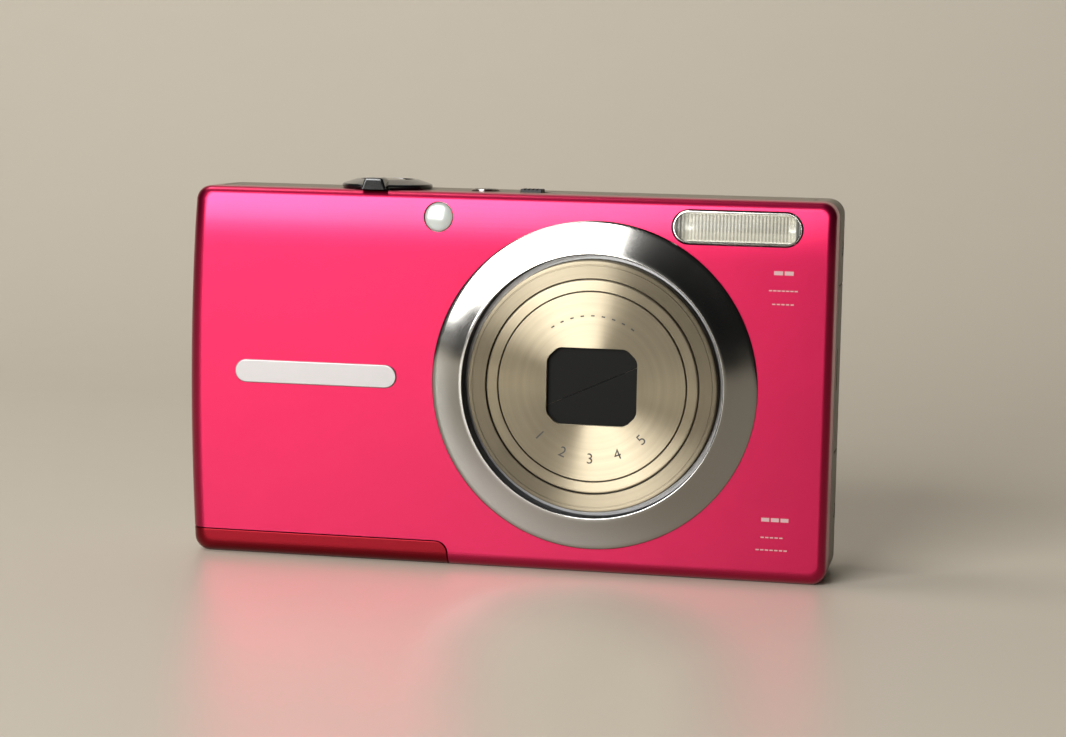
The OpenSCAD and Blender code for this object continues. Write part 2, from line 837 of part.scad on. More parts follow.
module battery_latch() {
    y0 = battery_y + battery_t - 0.65;
    color([0.9, 0.45, 0.1]) {
        block([battery_x + 15, y0, battery_z - 1.1], [battery_x + 20, y0 + 3.1, battery_z - 0.3]);
        block([battery_x + 16, y0 + 1.6, battery_z - 1.6],
              [battery_x + 19, y0 + 2.4, battery_z - 1.1]);
    }
}

// ---- base and sides ----

module tripod_bush() {
    color(steel) difference() {
        union() {
            rod_z(tripod_x, tripod_y, bush_r, 0, tripod_depth + 0.8);
            rod_z(tripod_x, tripod_y, bush_r + 0.7, back_wall + 0.1, back_wall + 0.9);
        }
        translate([tripod_x, tripod_y, -cut]) cylinder(r = tripod_r, h = tripod_depth + cut);
        translate([tripod_x, tripod_y, -eps]) cylinder(r1 = tripod_r + 0.5, r2 = tripod_r, h = 0.5);
    }
}

module strap_bar_solid(g = 0) {
    rod_z(x_left + side_bow * 0.4 + strap_bar_r + 0.2, strap_y, strap_bar_r + g,
          strap_z0 - 1.2, strap_z0 + strap_h + 1.2);
}

module strap_bar() {
    color(steel) strap_bar_solid();
}

module terminal_cover() {
    z1 = terminal_z + terminal_h;
    color(grey) {
        block([x_right - back_wall, terminal_front_y, terminal_z], [x_right, terminal_hinge_y, z1]);
        rod_z(terminal_x, terminal_hinge_y, terminal_r, terminal_z, z1);
        rod_z(terminal_x, terminal_hinge_y, 0.3, terminal_z - 0.8, z1 + 0.8);
    }
}

module socket_hole(g) {
    block([tray_x - cut, socket_y - g, socket_z - g],
          [x_right + cut, socket_y + socket_d + g, socket_z + socket_w + g]);
}

module av_socket() {
    x0 = tray_x - 6;
    x1 = tray_x + 0.5;
    color(steel) difference() {
        block([x0, socket_y, socket_z], [x1, socket_y + socket_d, socket_z + socket_w]);
        block([x0 + 0.6, socket_y + 0.35, socket_z + 0.35],
              [x1 + cut, socket_y + socket_d - 0.35, socket_z + socket_w - 0.35]);
    }
    color(black) block([x0 + 0.6, socket_y + 1.3, socket_z + 1.5],
                       [x1 - 0.6, socket_y + 2.1, socket_z + socket_w - 1.5]);
}

// ---- lens ----

module lens_base() {
    mount_y = base_wall_y + base_wall_t;
    color(dark) difference() {
        union() {
            tube_y(lens_x, lens_z, tube_out_r, tube_in_r, tube_front_y, pocket_y);
            tube_y(lens_x, lens_z, base_r, tube_in_r, step_y, pocket_y);
            tube_y(lens_x, lens_z, base_r, pocket_r, step_y, mount_y);
            tube_y(lens_x, lens_z, base_r, sensor_hole_r, base_wall_y, mount_y);
            // Bracket for the zoom motor
            difference() {
                rod_y(drive_x, drive_z, motor_r + 0.8, step_y, pocket_y);
                rod_y(lens_x, lens_z, tube_out_r - 0.4, step_y - cut, pocket_y + cut);
            }
            // Posts for the sensor's plate
            for (a = [30, 150, 270])
                rod_y(lens_x + 8.6 * cos(a), lens_z + 8.6 * sin(a), 1, mount_y, sensor_back_y);
        }
        // Way in for the pinion and its shaft
        rod_y(drive_x, drive_z, pinion_pitch_r + 0.9, pocket_y, base_wall_y);
        rod_y(drive_x, drive_z, shaft_r + 0.4, step_y - cut, pocket_y + cut);
    }
}

module cam_ring() {
    // The toothed part reaches past the pinion at both ends of the turn
    sector = cam_turn + 16;
    rim_r = cam_pitch_r - root_depth * gear_module;
    color(steel) difference() {
        union() {
            rod_y(lens_x, lens_z, cam_out_r, tube_front_y + 0.1, cam_rim_y + cam_rim_t);
            rod_y(lens_x, lens_z, rim_r, cam_rim_y, cam_rim_y + cam_rim_t);
            plate_y(cam_rim_y, cam_rim_y + cam_rim_t) translate([lens_x, lens_z])
                gear_teeth(cam_teeth, [for (k = [-4:floor(sector * cam_teeth / 360) - 4])
                    pinion_angle - k * 360 / cam_teeth]);
        }
        rod_y(lens_x, lens_z, cam_in_r, -cut - body_d, cut + body_d);
        // Windows for the barrels' guide pins
        for (a = [30, 150, 270])
            translate([lens_x, tube_front_y + 4.4, lens_z]) rotate([0, a, 0])
                translate([cam_in_r, 0, 0]) cube([4, 5, 2.4], center = true);
    }
}

// The angle function that shapes an involute tooth
function involute_turn(a) = tan(a) * 180 / PI - a;

// Half the angle that a tooth covers at radius r
function tooth_half(teeth, r) =
    let (
        pitch = gear_module * teeth / 2,
        base = pitch * cos(20),
        half = (PI * gear_module / 2 - backlash / 2) / (2 * pitch) * 180 / PI
    )
    half + involute_turn(20) - involute_turn(r > base ? acos(base / r) : 0);

// Teeth of a gear about the origin, one at each of the given angles
module gear_teeth(teeth, angles) {
    pitch = gear_module * teeth / 2;
    r0 = pitch - (root_depth + 0.3) * gear_module;
    r1 = pitch + tip_height * gear_module;
    steps = 5;
    radii = [for (i = [0:steps]) r0 + (r1 - r0) * i / steps];
    for (a = angles)
        polygon(concat(
            [for (r = radii) let (t = a - tooth_half(teeth, r)) [r * cos(t), r * sin(t)]],
            [for (i = [steps:-1:0]) let (r = radii[i], t = a + tooth_half(teeth, r))
                [r * cos(t), r * sin(t)]]
        ));
}

module drive_pinion() {
    step = 360 / pinion_teeth;
    y0 = cam_rim_y - 0.05;
    color([0.8, 0.66, 0.3]) {
        plate_y(y0, cam_rim_y + cam_rim_t + 0.05) translate([drive_x, drive_z]) {
            circle(r = pinion_pitch_r - root_depth * gear_module);
            gear_teeth(pinion_teeth, [for (k = [0:pinion_teeth - 1])
                pinion_angle + 180 + step * (k + 0.5)]);
        }
        rod_y(drive_x, drive_z, shaft_r, step_y - 1.6, base_wall_y - 0.3);
    }
}

module zoom_motor() {
    color(steel) difference() {
        rod_y(drive_x, drive_z, motor_r, inside_front + 0.4, step_y);
        rod_y(drive_x, drive_z, shaft_r + run_fit, step_y - 1.8, step_y + cut);
    }
}

module outer_barrel() {
    color(nickel) difference() {
        rod_y(lens_x, lens_z, barrel_r, lens_face_y, outer_end_y);
        rod_y(lens_x, lens_z, barrel_r - barrel_wall, lens_face_y + face_t, outer_end_y + cut);
        rod_y(lens_x, lens_z, middle_r + 1.5 * barrel_fit, lens_face_y - cut, lens_face_y + cut);
    }
}

module middle_barrel() {
    y0 = lens_face_y + 0.05;
    web_y = middle_end_y - web_t;
    color(nickel) {
        difference() {
            union() {
                rod_y(lens_x, lens_z, middle_r, y0, middle_end_y);
                rod_y(lens_x, lens_z, barrel_r - barrel_wall - barrel_fit, web_y, middle_end_y);
            }
            rod_y(lens_x, lens_z, middle_r - barrel_wall, y0 + face_t, web_y);
            rod_y(lens_x, lens_z, inner_r + 1.5 * barrel_fit, y0 - cut, y0 + cut);
            rod_y(lens_x, lens_z, zoom_cell_r, web_y - cut, middle_end_y + cut);
        }
        tube_y(lens_x, lens_z, zoom_cell_r + 0.7, zoom_cell_r, web_y - 5.8, web_y);
    }
}

module inner_barrel() {
    color(nickel) {
        difference() {
            union() {
                rod_y(lens_x, lens_z, inner_r, lens_face_y + plate_t, inner_end_y);
                rod_y(lens_x, lens_z, middle_r - barrel_wall - barrel_fit, inner_end_y - 0.8,
                      inner_end_y);
            }
            rod_y(lens_x, lens_z, inner_r - barrel_wall, lens_face_y, blade_floor_y);
            rod_y(lens_x, lens_z, inner_r - barrel_wall, blade_floor_y + floor_t,
                  inner_end_y + cut);
            rod_y(lens_x, lens_z, 5, blade_floor_y - cut, blade_floor_y + cut);
        }
        tube_y(lens_x, lens_z, cell_r + 0.8, cell_r, blade_floor_y + floor_t,
               blade_floor_y + floor_t + 3);
        for (side = [-1, 1])
            rod_y(lens_x + side * blade_pivot * cos(blade_seam),
                  lens_z + side * blade_pivot * sin(blade_seam),
                  0.4, lens_face_y + plate_t + 0.02, blade_floor_y);
    }
}

// The front plate with its window for the lens
module front_plate() {
    color(nickel) difference() {
        rod_y(lens_x, lens_z, inner_r, lens_face_y, lens_face_y + plate_t);
        plate_y(lens_face_y - cut, lens_face_y + cut)
            soft_rect(lens_x - window_w / 2, lens_z - window_h / 2, window_w, window_h, 1.6);
    }
}

// Half a disc with an arm to its pivot on the right, straight edge along +X
module blade_shape() {
    difference() {
        union() {
            intersection() {
                union() {
                    circle(r = blade_r);
                    square([blade_pivot, 2]);
                }
                translate([-blade_r, 0.03]) square([2 * blade_r + 4, blade_r]);
            }
            translate([blade_pivot, 0]) circle(r = 1.1);
        }
        translate([blade_pivot, 0]) circle(r = 0.4 + run_fit);
    }
}

module barrier_blade_upper() {
    color(black) plate_y(blade_y, blade_y + blade_t)
        translate([lens_x, lens_z]) rotate(blade_seam) blade_shape();
}

module barrier_blade_lower() {
    color(black) plate_y(blade_y, blade_y + blade_t)
        translate([lens_x, lens_z]) rotate(blade_seam + 180) blade_shape();
}

// Points across a lens face that bulges by sag, from the axis out to r
function lens_face(r, sag, y) =
    let (ball = (r * r + sag * sag) / (2 * abs(sag)), dir = sign(sag))
    [for (i = [0:6]) let (q = r * i / 6) [q, y + dir * (abs(sag) - ball + sqrt(ball * ball - q * q))]];

function reversed(list) = [for (i = [len(list) - 1:-1:0]) list[i]];

module front_lens_group() {
    y0 = blade_floor_y + floor_t;
    color(glass) turn_y(lens_x, lens_z, concat(
        lens_face(cell_r - 0.02, -0.3, y0 + 0.4), reversed(lens_face(cell_r - 0.02, 0.7, y0 + 2))
    ));
}

module zoom_lens_group() {
    y0 = middle_end_y - web_t - 5.4;
    color(glass) turn_y(lens_x, lens_z, concat(
        lens_face(zoom_cell_r - 0.02, -0.6, y0 + 0.8),
        reversed(lens_face(zoom_cell_r - 0.02, 0.4, y0 + 3))
    ));
}

module focus_lens() {
    color(glass) rod_y(lens_x, lens_z, focus_r - 1.2, focus_y, focus_y + focus_t);
    color(dark) tube_y(lens_x, lens_z, focus_r, focus_r - 1.2, focus_y, focus_y + focus_t);
}

module image_sensor() {
    color([0.15, 0.2, 0.3])
        block([lens_x - sensor_w / 2, sensor_y, lens_z - sensor_h / 2],
              [lens_x + sensor_w / 2, sensor_back_y, lens_z + sensor_h / 2]);
}

module sensor_plate() {
    color(steel) plate_y(sensor_back_y, sensor_back_y + sensor_plate_t)
        soft_rect(lens_x - 10, lens_z - 10.2, 20, 18, 2);
}

// ---- top controls ----

module shutter_button() {
    top = body_h + lever_proud - 0.2;
    ball_r = 14;
    skirt_z = pocket_z + shutter_travel + 0.4;
    color(chrome) {
        intersection() {
            rod_z(shutter_x, control_y, shutter_r, skirt_z, top + 1);
            translate([shutter_x, control_y, top - ball_r]) sphere(r = ball_r);
        }
        rod_z(shutter_x, control_y, stem_r, pocket_z - pocket_floor - 1.2, skirt_z);
    }
}

module shutter_spring() {
    color(steel) difference() {
        rod_z(shutter_x, control_y, 2.6, pocket_z, pocket_z + shutter_travel + 0.4);
        rod_z(shutter_x, control_y, 2.1, 0, body_h);
    }
}

module zoom_lever() {
    z0 = body_h + 0.12;
    z1 = body_h + lever_proud;
    color(black) difference() {
        union() {
            rod_z(shutter_x, control_y, lever_r - 0.3, z0, z1);
            rod_z(shutter_x, control_y, lever_r, z0, z1 - 0.3);
            rod_z(shutter_x, control_y, hub_r, pocket_z + 0.15, z0);
            translate([shutter_x, control_y - lever_r - 0.4, (z0 + z1 + 0.4) / 2])
                cube([3.4, 2.2, z1 + 0.4 - z0], center = true);
        }
        rod_z(shutter_x, control_y, lever_bore_r, 0, body_h + cut);
    }
}

module power_button() {
    z0 = body_h - top_wall - 0.6;
    color(chrome) {
        rod_z(power_x, switch_y, power_r, z0, body_h + 0.35);
        rod_z(power_x, switch_y, power_r + 0.5, z0 - 0.5, z0);
    }
}

module mode_switch() {
    z0 = body_h - top_wall - 0.15;
    x0 = mode_x - mode_knob[0] / 2;
    w = mode_knob[1] / 2;
    color(dark) {
        block([x0, switch_y - w, z0], [x0 + mode_knob[0], switch_y + w, body_h + 0.5]);
        block([x0 - 0.6, switch_y - w - 0.6, z0 - 0.6],
              [x0 + mode_knob[0] + 0.6, switch_y + w + 0.6, z0]);
    }
}

module speaker() {
    z1 = body_h - top_wall - 0.1;
    color(dark) rod_z(speaker_x, switch_y + 1, 3.2, z1 - 2, z1);
}

module microphone() {
    z1 = body_h - top_wall - 0.1;
    color(steel) rod_z(mic_x, switch_y + 1, 1.6, z1 - 1.2, z1);
}

// ---- back ----

module lcd_panel() {
    y0 = chassis_y + chassis_t + 0.1;
    color(dark) block([lcd_x0 - 0.6, y0, lcd_z0 - 0.4],
                      [lcd_x0 + window_lcd_w + 0.4, inside_back - 0.1,
                       lcd_z0 + window_lcd_h + 0.4]);
}

module lcd_window() {
    color(black) plate_y(y_back - window_lcd_t - 0.05, y_back - 0.05)
        soft_rect(lcd_x0, lcd_z0, window_lcd_w, window_lcd_h, 1.1);
}

module key_mat() {
    color(dark) difference() {
        block([x_left + 5.2, mat_y, 5], [lcd_x0 - 1.2, mat_y + mat_t, body_h - 4.2]);
        rod_y(x_left + 19, 38, 1.5, mat_y - cut, mat_y + cut);
    }
}

// A round key with its flange behind the rear wall
module round_key(p, r) {
    rod_y(p[0], p[1], r, key_back_y, y_back + key_proud);
    rod_y(p[0], p[1], r + key_flange, key_back_y, key_back_y + 0.45);
}

module play_button() {
    color(grey) round_key(play_pos, small_key_r);
}

module movie_button() {
    color(grey) round_key(movie_pos, movie_r);
}

module menu_button() {
    color(grey) round_key(menu_pos, small_key_r);
}

module help_button() {
    color(grey) round_key(help_pos, small_key_r);
}

module nav_carrier() {
    color(dark) tube_y(nav_x, nav_z, carrier_r, carrier_r - 1.2, carrier_y, carrier_y + carrier_t);
}

module nav_ring() {
    color(grey) difference() {
        rod_y(nav_x, nav_z, nav_r, carrier_y + 0.4, y_back + key_proud);
        rod_y(nav_x, nav_z, set_r + 0.5, mat_y, y_back + cut);
        rod_y(nav_x, nav_z, carrier_r + 0.4, mat_y, carrier_y + carrier_t + 0.4);
    }
}

module set_button() {
    color(grey) {
        rod_y(nav_x, nav_z, set_r, key_back_y, y_back + key_proud);
        rod_y(nav_x, nav_z, set_r + 0.25, key_back_y, key_back_y + 0.2);
    }
}

// Raised dots under the thumb
module thumb_grip() {
    color(grey) for (i = [0:3]) for (j = [0:2])
        rod_y(x_left + 12 + i * 2, body_h - 10 + j * 2, 0.45, y_back, y_back + 0.2);
}

front_cover();
rear_cover();
top_plate();
lens_ring();
nameplate();
af_lamp_window();
flash_window();
flash_reflector();
flash_tube();
flash_capacitor();
flash_board();
battery_box();
battery();
battery_contacts();
memory_card();
card_slot();
main_board();
chassis_plate();
case_screws();
battery_door();
door_slider();
door_hinge_pin();
battery_latch();
tripod_bush();
strap_bar();
terminal_cover();
av_socket();
lens_base();
cam_ring();
outer_barrel();
middle_barrel();
inner_barrel();
front_plate();
barrier_blade_upper();
barrier_blade_lower();
front_lens_group();
zoom_lens_group();
focus_lens();
image_sensor();
sensor_plate();
zoom_motor();
drive_pinion();
shutter_button();
shutter_spring();
zoom_lever();
power_button();
mode_switch();
speaker();
microphone();
lcd_panel();
lcd_window();
key_mat();
play_button();
movie_button();
menu_button();
help_button();
nav_ring();
nav_carrier();
set_button();
thumb_grip();
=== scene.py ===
"""A compact digital camera on a pale studio floor, modelled piece by piece around its frame."""

import math
from types import SimpleNamespace

import bmesh
import bpy
from bpy.props import FloatProperty, FloatVectorProperty, IntProperty, PointerProperty
from mathutils import Matrix, Vector


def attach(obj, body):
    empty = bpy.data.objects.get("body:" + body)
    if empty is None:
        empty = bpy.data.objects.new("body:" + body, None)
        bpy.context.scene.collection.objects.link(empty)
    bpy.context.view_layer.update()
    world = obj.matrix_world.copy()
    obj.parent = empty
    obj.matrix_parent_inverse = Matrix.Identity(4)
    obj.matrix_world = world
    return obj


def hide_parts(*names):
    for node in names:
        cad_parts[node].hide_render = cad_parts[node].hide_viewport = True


bl_info = {
    "name": "Compact Camera",
    "version": (1, 0, 0),
    "blender": (4, 5, 0),
    "location": "View3D > Sidebar > Camera",
    "description": "Models a compact digital camera, piece by piece, with its finishes and studio",
    "category": "Add Mesh",
}

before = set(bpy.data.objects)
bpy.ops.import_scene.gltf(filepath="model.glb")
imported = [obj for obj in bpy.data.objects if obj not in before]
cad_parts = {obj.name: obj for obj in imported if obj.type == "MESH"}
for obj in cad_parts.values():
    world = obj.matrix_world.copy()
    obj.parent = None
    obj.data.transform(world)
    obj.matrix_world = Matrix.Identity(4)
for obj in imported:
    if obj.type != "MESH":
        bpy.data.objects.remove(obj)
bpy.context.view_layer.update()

MM = 0.001
TINY = 1e-6
TURN = 2 * math.pi
SMOOTH_UNDER = math.radians(32)


# ---- sizes and colours ----


def length(name, millimetres, text):
    """A length that the user can change, given here in millimetres."""
    return FloatProperty(
        name=name, description=text, default=millimetres * MM, unit="LENGTH", precision=5
    )


def tint(name, red, green, blue, text):
    """A colour that the user can change, given here as screen values from 0 to 255."""
    linear = [
        c / 255 / 12.92 if c / 255 <= 0.04045 else ((c / 255 + 0.055) / 1.055) ** 2.4
        for c in (red, green, blue)
    ]
    return FloatVectorProperty(
        name=name, description=text, default=linear, subtype="COLOR", min=0, max=1
    )


class CameraSizes(bpy.types.PropertyGroup):
    """Sizes of the camera's body, lens and controls"""

    body_w: length("Body width", 94.7, "Width of the body")
    body_h: length("Body height", 54.2, "Height of the body")
    body_d: length("Body depth", 18.0, "Depth of the body without the lens ring and the keys")
    corner_r: length("Corner radius", 2.2, "Radius of the body's corners seen from the front")
    side_bow: length("Side bow", 0.7, "How far the grip side bows out at mid-height")
    edge_r: length("Front edge", 1.25, "Rounding of the front's right and top edges")
    grip_edge_r: length("Grip edge", 2.6, "Rounding between the front and the grip side")
    base_edge_r: length("Base edge", 2.1, "Rounding between the front and the base")
    back_side_r: length("Back side edge", 3.6, "Rounding between the back and the sides")
    back_edge_r: length("Back edge", 2.0, "Rounding between the back and the top or base")
    front_wall: length("Front wall", 0.8, "Sheet thickness of the front cover")
    back_wall: length("Back wall", 1.2, "Wall of the rear cover")
    front_wrap: length("Front wrap", 5.6, "How far the front cover wraps over the sides")
    seam: length("Seam", 0.1, "Gap between two covers")
    crown: length("Crown", 0.85, "How far the front rolls back at its top edge")
    crown_h: length("Crown height", 9.0, "Height of the band that rolls back")
    lens_from_right: length("Lens place", 33.85, "From the right side to the lens axis")
    lens_z: length("Lens height", 27.2, "Height of the lens axis")
    ring_r: length("Lens ring", 23.6, "Outer radius of the lens ring")
    ring_bore_r: length("Ring bore", 18.8, "Bore of the lens ring")
    barrel_r: length("Outer barrel", 18.05, "Radius of the outer barrel")
    middle_r: length("Middle barrel", 15.3, "Radius of the middle barrel")
    inner_r: length("Inner barrel", 13.55, "Radius of the inner barrel")
    window_w: length("Lens window width", 13.1, "Width of the window in the front plate")
    window_h: length("Lens window height", 11.1, "Height of the window in the front plate")
    door_w: length("Door width", 39.85, "Width of the battery door along the base")
    door_h: length("Door height", 3.5, "Height of the door's strip on the front")
    lever_r: length("Zoom lever", 6.65, "Outside radius of the zoom lever")
    shutter_r: length("Shutter button", 3.7, "Radius of the shutter button")
    display_w: length("Display width", 58.0, "Width of the display window")
    display_h: length("Display height", 45.0, "Height of the display window")
    nav_r: length("Direction ring", 9.5, "Outside radius of the direction ring")
    smoothness: IntProperty(
        name="Smoothness", description="Steps round a large circle", default=160, min=24, max=256
    )


class CameraColours(bpy.types.PropertyGroup):
    """Colours of the camera's finishes"""

    pink: tint("Pink", 164, 8, 60, "Anodised metal of the front cover")
    red: tint("Red", 112, 5, 20, "Gloss of the battery door")
    grey: tint("Grey", 113, 103, 88, "Moulded rear cover")
    chrome: tint("Chrome", 158, 156, 151, "Plated lens ring and buttons")
    champagne: tint("Champagne", 148, 138, 117, "Turned faces of the lens barrels")
    black: tint("Black", 22, 22, 23, "Black plastic")
    print_silver: tint("Print", 172, 140, 140, "Lettering on the front")
    board: tint("Board", 22, 74, 44, "Circuit boards")
    cell: tint("Cell", 70, 72, 78, "Wrap of the battery")
    floor: tint("Floor", 180, 172, 158, "Studio floor and backdrop")


# ---- where things are ----


def layout():
    """Every place that more than one piece needs, worked out from the sizes."""
    s = bpy.context.scene.camera_sizes
    p = SimpleNamespace()
    proud, key_proud = 1.5 * MM, 0.3 * MM
    p.left, p.right, p.top = -s.body_w / 2, s.body_w / 2, s.body_h
    p.front = proud - (proud + s.body_d + key_proud) / 2
    p.back = p.front + s.body_d
    p.seam = p.front + s.front_wrap
    p.in_front, p.in_back = p.front + s.front_wall, p.back - s.back_wall
    p.lens = Vector((p.right - s.lens_from_right, 0, s.lens_z))
    p.crest = p.front - proud
    p.face = p.front - 1.1 * MM
    p.shutter = Vector((p.left + 28.05 * MM, 0, p.top))
    p.power = p.shutter + Vector((14.8 * MM, 0, 0))
    p.mode = p.shutter + Vector((21.8 * MM, 0, 0))
    p.speaker = p.shutter + Vector((35.5 * MM, 1 * MM, 0))
    p.mic = p.shutter + Vector((43 * MM, 1 * MM, 0))
    p.top_side, p.top_wall = 3.85 * MM, 1.2 * MM
    p.hub_r = s.shutter_r + 0.9 * MM
    p.display = (p.right - 3.85 * MM - s.display_w, (p.top - s.display_h) / 2 + 0.4 * MM)
    p.nav = Vector((p.left + 15.85 * MM, 0, 25 * MM))
    p.keys = {
        "movie_button": (p.left + 24.35 * MM, p.top - 8.7 * MM, 3.0 * MM),
        "play_button": (p.left + 7.75 * MM, p.top - 15.7 * MM, 2.8 * MM),
        "menu_button": (p.left + 24.35 * MM, 11 * MM, 2.8 * MM),
        "help_button": (p.left + 7.75 * MM, 11 * MM, 2.8 * MM),
    }
    # The keys stand on a mat: its front, its thickness, the keys' travel and a gap
    p.key_front = p.in_back - 1.8 * MM + 0.6 * MM + 0.3 * MM + 0.1 * MM
    p.key_top = p.back + key_proud
    p.door_end = p.left + s.door_w
    p.hinge = Vector((0, p.back - 3.2 * MM, 1.3 * MM))
    p.tripod = Vector((p.lens.x + 8.5 * MM, p.seam + 5 * MM, 0))
    p.cover_z = (18 * MM, 42 * MM)
    p.cover_front, p.cover_hinge = p.seam + 3 * MM, p.back - s.back_side_r
    p.strap_z = (p.top - 17.7 * MM, p.top - 8.7 * MM)
    p.strap_y = p.back - 5.8 * MM
    p.lamp = Vector((p.left + 37.8 * MM, 0, p.top - 3.55 * MM))
    p.flash = Vector((p.right - 13.85 * MM, 0, p.top - 3.9 * MM))
    p.flash_w, p.flash_h = 18.3 * MM, 4.7 * MM
    p.chassis_y = p.in_back - 2.3 * MM
    p.screw_y = p.chassis_y - 1.7 * MM
    p.screws = [(1, 9 * MM), (1, p.top - 7 * MM), (-1, 20 * MM)]
    return p


# ---- modelling by hand ----


def deselect():
    """Leaves nothing selected, in object mode."""
    if bpy.context.mode != "OBJECT":
        bpy.ops.object.mode_set(mode="OBJECT")
    bpy.ops.object.select_all(action="DESELECT")


def choose(*objs):
    """Selects these objects only; the first is the active one."""
    deselect()
    for obj in objs:
        obj.select_set(True)
    bpy.context.view_layer.objects.active = objs[0]


def settle(name):
    """Names the object just made and moves its place into its mesh."""
    obj = bpy.context.active_object
    obj.name = name
    obj.data.name = name
    bpy.ops.object.transform_apply(location=True, rotation=True, scale=True)
    return obj


class Shaping:
    """Edit mode on one object, with ways to pick its points, edges and faces."""

    def __init__(self, obj):
        self.obj = obj

    def __enter__(self):
        choose(self.obj)
        bpy.ops.object.mode_set(mode="EDIT")
        bpy.ops.mesh.select_mode(type="VERT")
        bpy.ops.mesh.select_all(action="SELECT")
        return self

    def __exit__(self, *error):
        bpy.ops.object.mode_set(mode="OBJECT")

    def mesh(self):
        """The mesh being edited, kept in a name for as long as its parts are used."""
        bm = bmesh.from_edit_mesh(self.obj.data)
        bm.verts.ensure_lookup_table()
        return bm

    def pick(self, kind, test):
        """Selects what passes the test: kind is VERT, EDGE or FACE."""
        bpy.ops.mesh.select_mode(type=kind)
        bpy.ops.mesh.select_all(action="DESELECT")
        bm = self.mesh()
        parts = {"VERT": bm.verts, "EDGE": bm.edges, "FACE": bm.faces}[kind]
        found = [x for x in parts if test(x)]
        for x in found:
            x.select_set(True)
        bm.select_flush_mode()
        bmesh.update_edit_mesh(self.obj.data)
        if not found:
            raise RuntimeError(f"{self.obj.name}: nothing to pick")

    def tidy(self):
        """Merges doubled points and turns every face outwards."""
        bpy.ops.mesh.select_mode(type="VERT")
        bpy.ops.mesh.select_all(action="SELECT")
        bpy.ops.mesh.remove_doubles(threshold=TINY)
        bpy.ops.mesh.normals_make_consistent(inside=False)


def box(name, low, high):
    """A box between two corners, as a start."""
    deselect()
    low, high = Vector(low), Vector(high)
    bpy.ops.mesh.primitive_cube_add(size=1, location=(low + high) / 2, scale=high - low)
    return settle(name)


def rod(name, axis, centre, radius, start, end, steps=64):
    """A round bar along an axis between two heights, as a start or a drill."""
    deselect()
    place = Vector(centre)
    place["XYZ".index(axis)] = (start + end) / 2
    turn = {"X": (0, math.pi / 2, 0), "Y": (math.pi / 2, 0, 0), "Z": (0, 0, 0)}[axis]
    bpy.ops.mesh.primitive_cylinder_add(
        vertices=steps, radius=radius, depth=end - start, location=place, rotation=turn
    )
    return settle(name)


def turned(name, axis, centre, profile, steps=64):
    """A profile of (radius, height) points, drawn from one point and spun about an axis."""
    line = {"X": Vector((1, 0, 0)), "Y": Vector((0, 1, 0)), "Z": Vector((0, 0, 1))}[axis]
    out = Vector((0, 0, 1)) if axis == "X" else Vector((1, 0, 0))
    hub = Vector(centre)
    hub["XYZ".index(axis)] = 0
    path = [hub + out * r + line * h for r, h in profile]
    deselect()
    bpy.ops.mesh.primitive_plane_add(size=MM, location=path[0])
    obj = settle(name)
    with Shaping(obj) as work:
        bpy.ops.mesh.merge(type="CENTER")
        for here, there in zip(path, path[1:]):
            bpy.ops.mesh.extrude_vertices_move(
                TRANSFORM_OT_translate={"value": there - here}
            )
        bpy.ops.mesh.select_all(action="SELECT")
        bpy.ops.mesh.spin(steps=steps, angle=TURN, center=hub, axis=line)
        work.tidy()
    return obj


def skin(name, rings):
    """A closed skin through rings of points: a circle extruded from ring to ring."""
    count = len(rings[0])
    deselect()
    bpy.ops.mesh.primitive_circle_add(vertices=count, radius=MM, fill_type="NOTHING")
    obj = settle(name)
    with Shaping(obj) as work:
        bm = work.mesh()
        for v, place in zip(bm.verts, rings[0]):
            v.co = place
        bpy.ops.mesh.edge_face_add()
        bpy.ops.mesh.select_mode(type="EDGE")
        for ring in rings[1:]:
            bpy.ops.mesh.extrude_edges_move()
            bm = work.mesh()
            for v, place in zip(newest_ring(bm, count), ring):
                v.co = place
        bpy.ops.mesh.edge_face_add()
        work.tidy()
    return obj


def newest_ring(bm, count):
    """The points just extruded, each in the order of the point that it came from."""
    newest = set(bm.verts[len(bm.verts) - count:])
    before = bm.verts[len(bm.verts) - 2 * count: len(bm.verts) - count]
    return [e.other_vert(v) for v in before for e in v.link_edges if e.other_vert(v) in newest]


def arc(cx, cy, r, start, end, steps):
    """Points along an arc, angles in degrees."""
    return [
        (
            cx + r * math.cos(math.radians(start + (end - start) * i / steps)),
            cy + r * math.sin(math.radians(start + (end - start) * i / steps)),
        )
        for i in range(steps + 1)
    ]


def soft_outline(x, z, w, h, r, steps=8):
    """A rectangle with round corners, seen from the front."""
    return (
        arc(x + r, z + r, r, 180, 270, steps)
        + arc(x + w - r, z + r, r, 270, 360, steps)
        + arc(x + w - r, z + h - r, r, 0, 90, steps)
        + arc(x + r, z + h - r, r, 90, 180, steps)
    )


def slab(name, outline, y0, y1, round_front=0.0, round_back=0.0, steps=4):
    """A flat outline in X and Z made solid from y0 to y1, its two rims rounded."""
    (x0, z0), (x1, z1) = ([end(at) for at in zip(*outline)] for end in (min, max))
    cx, cz, wide, high = (x0 + x1) / 2, (z0 + z1) / 2, (x1 - x0) / 2, (z1 - z0) / 2

    def ring(y, shrink):
        kx, kz = 1 - shrink / wide, 1 - shrink / high
        return [Vector((cx + (x - cx) * kx, y, cz + (z - cz) * kz)) for x, z in outline]

    rings = []
    for rim, edge, inward in ((round_front, y0, 1), (round_back, y1, -1)):
        turns = [math.pi / 2 * i / steps for i in range(steps + 1)] if rim else [math.pi / 2]
        side = [
            ring(edge + inward * rim * (1 - math.cos(a)), rim * (1 - math.sin(a))) for a in turns
        ]
        rings += side if inward > 0 else side[::-1]
    return skin(name, rings)


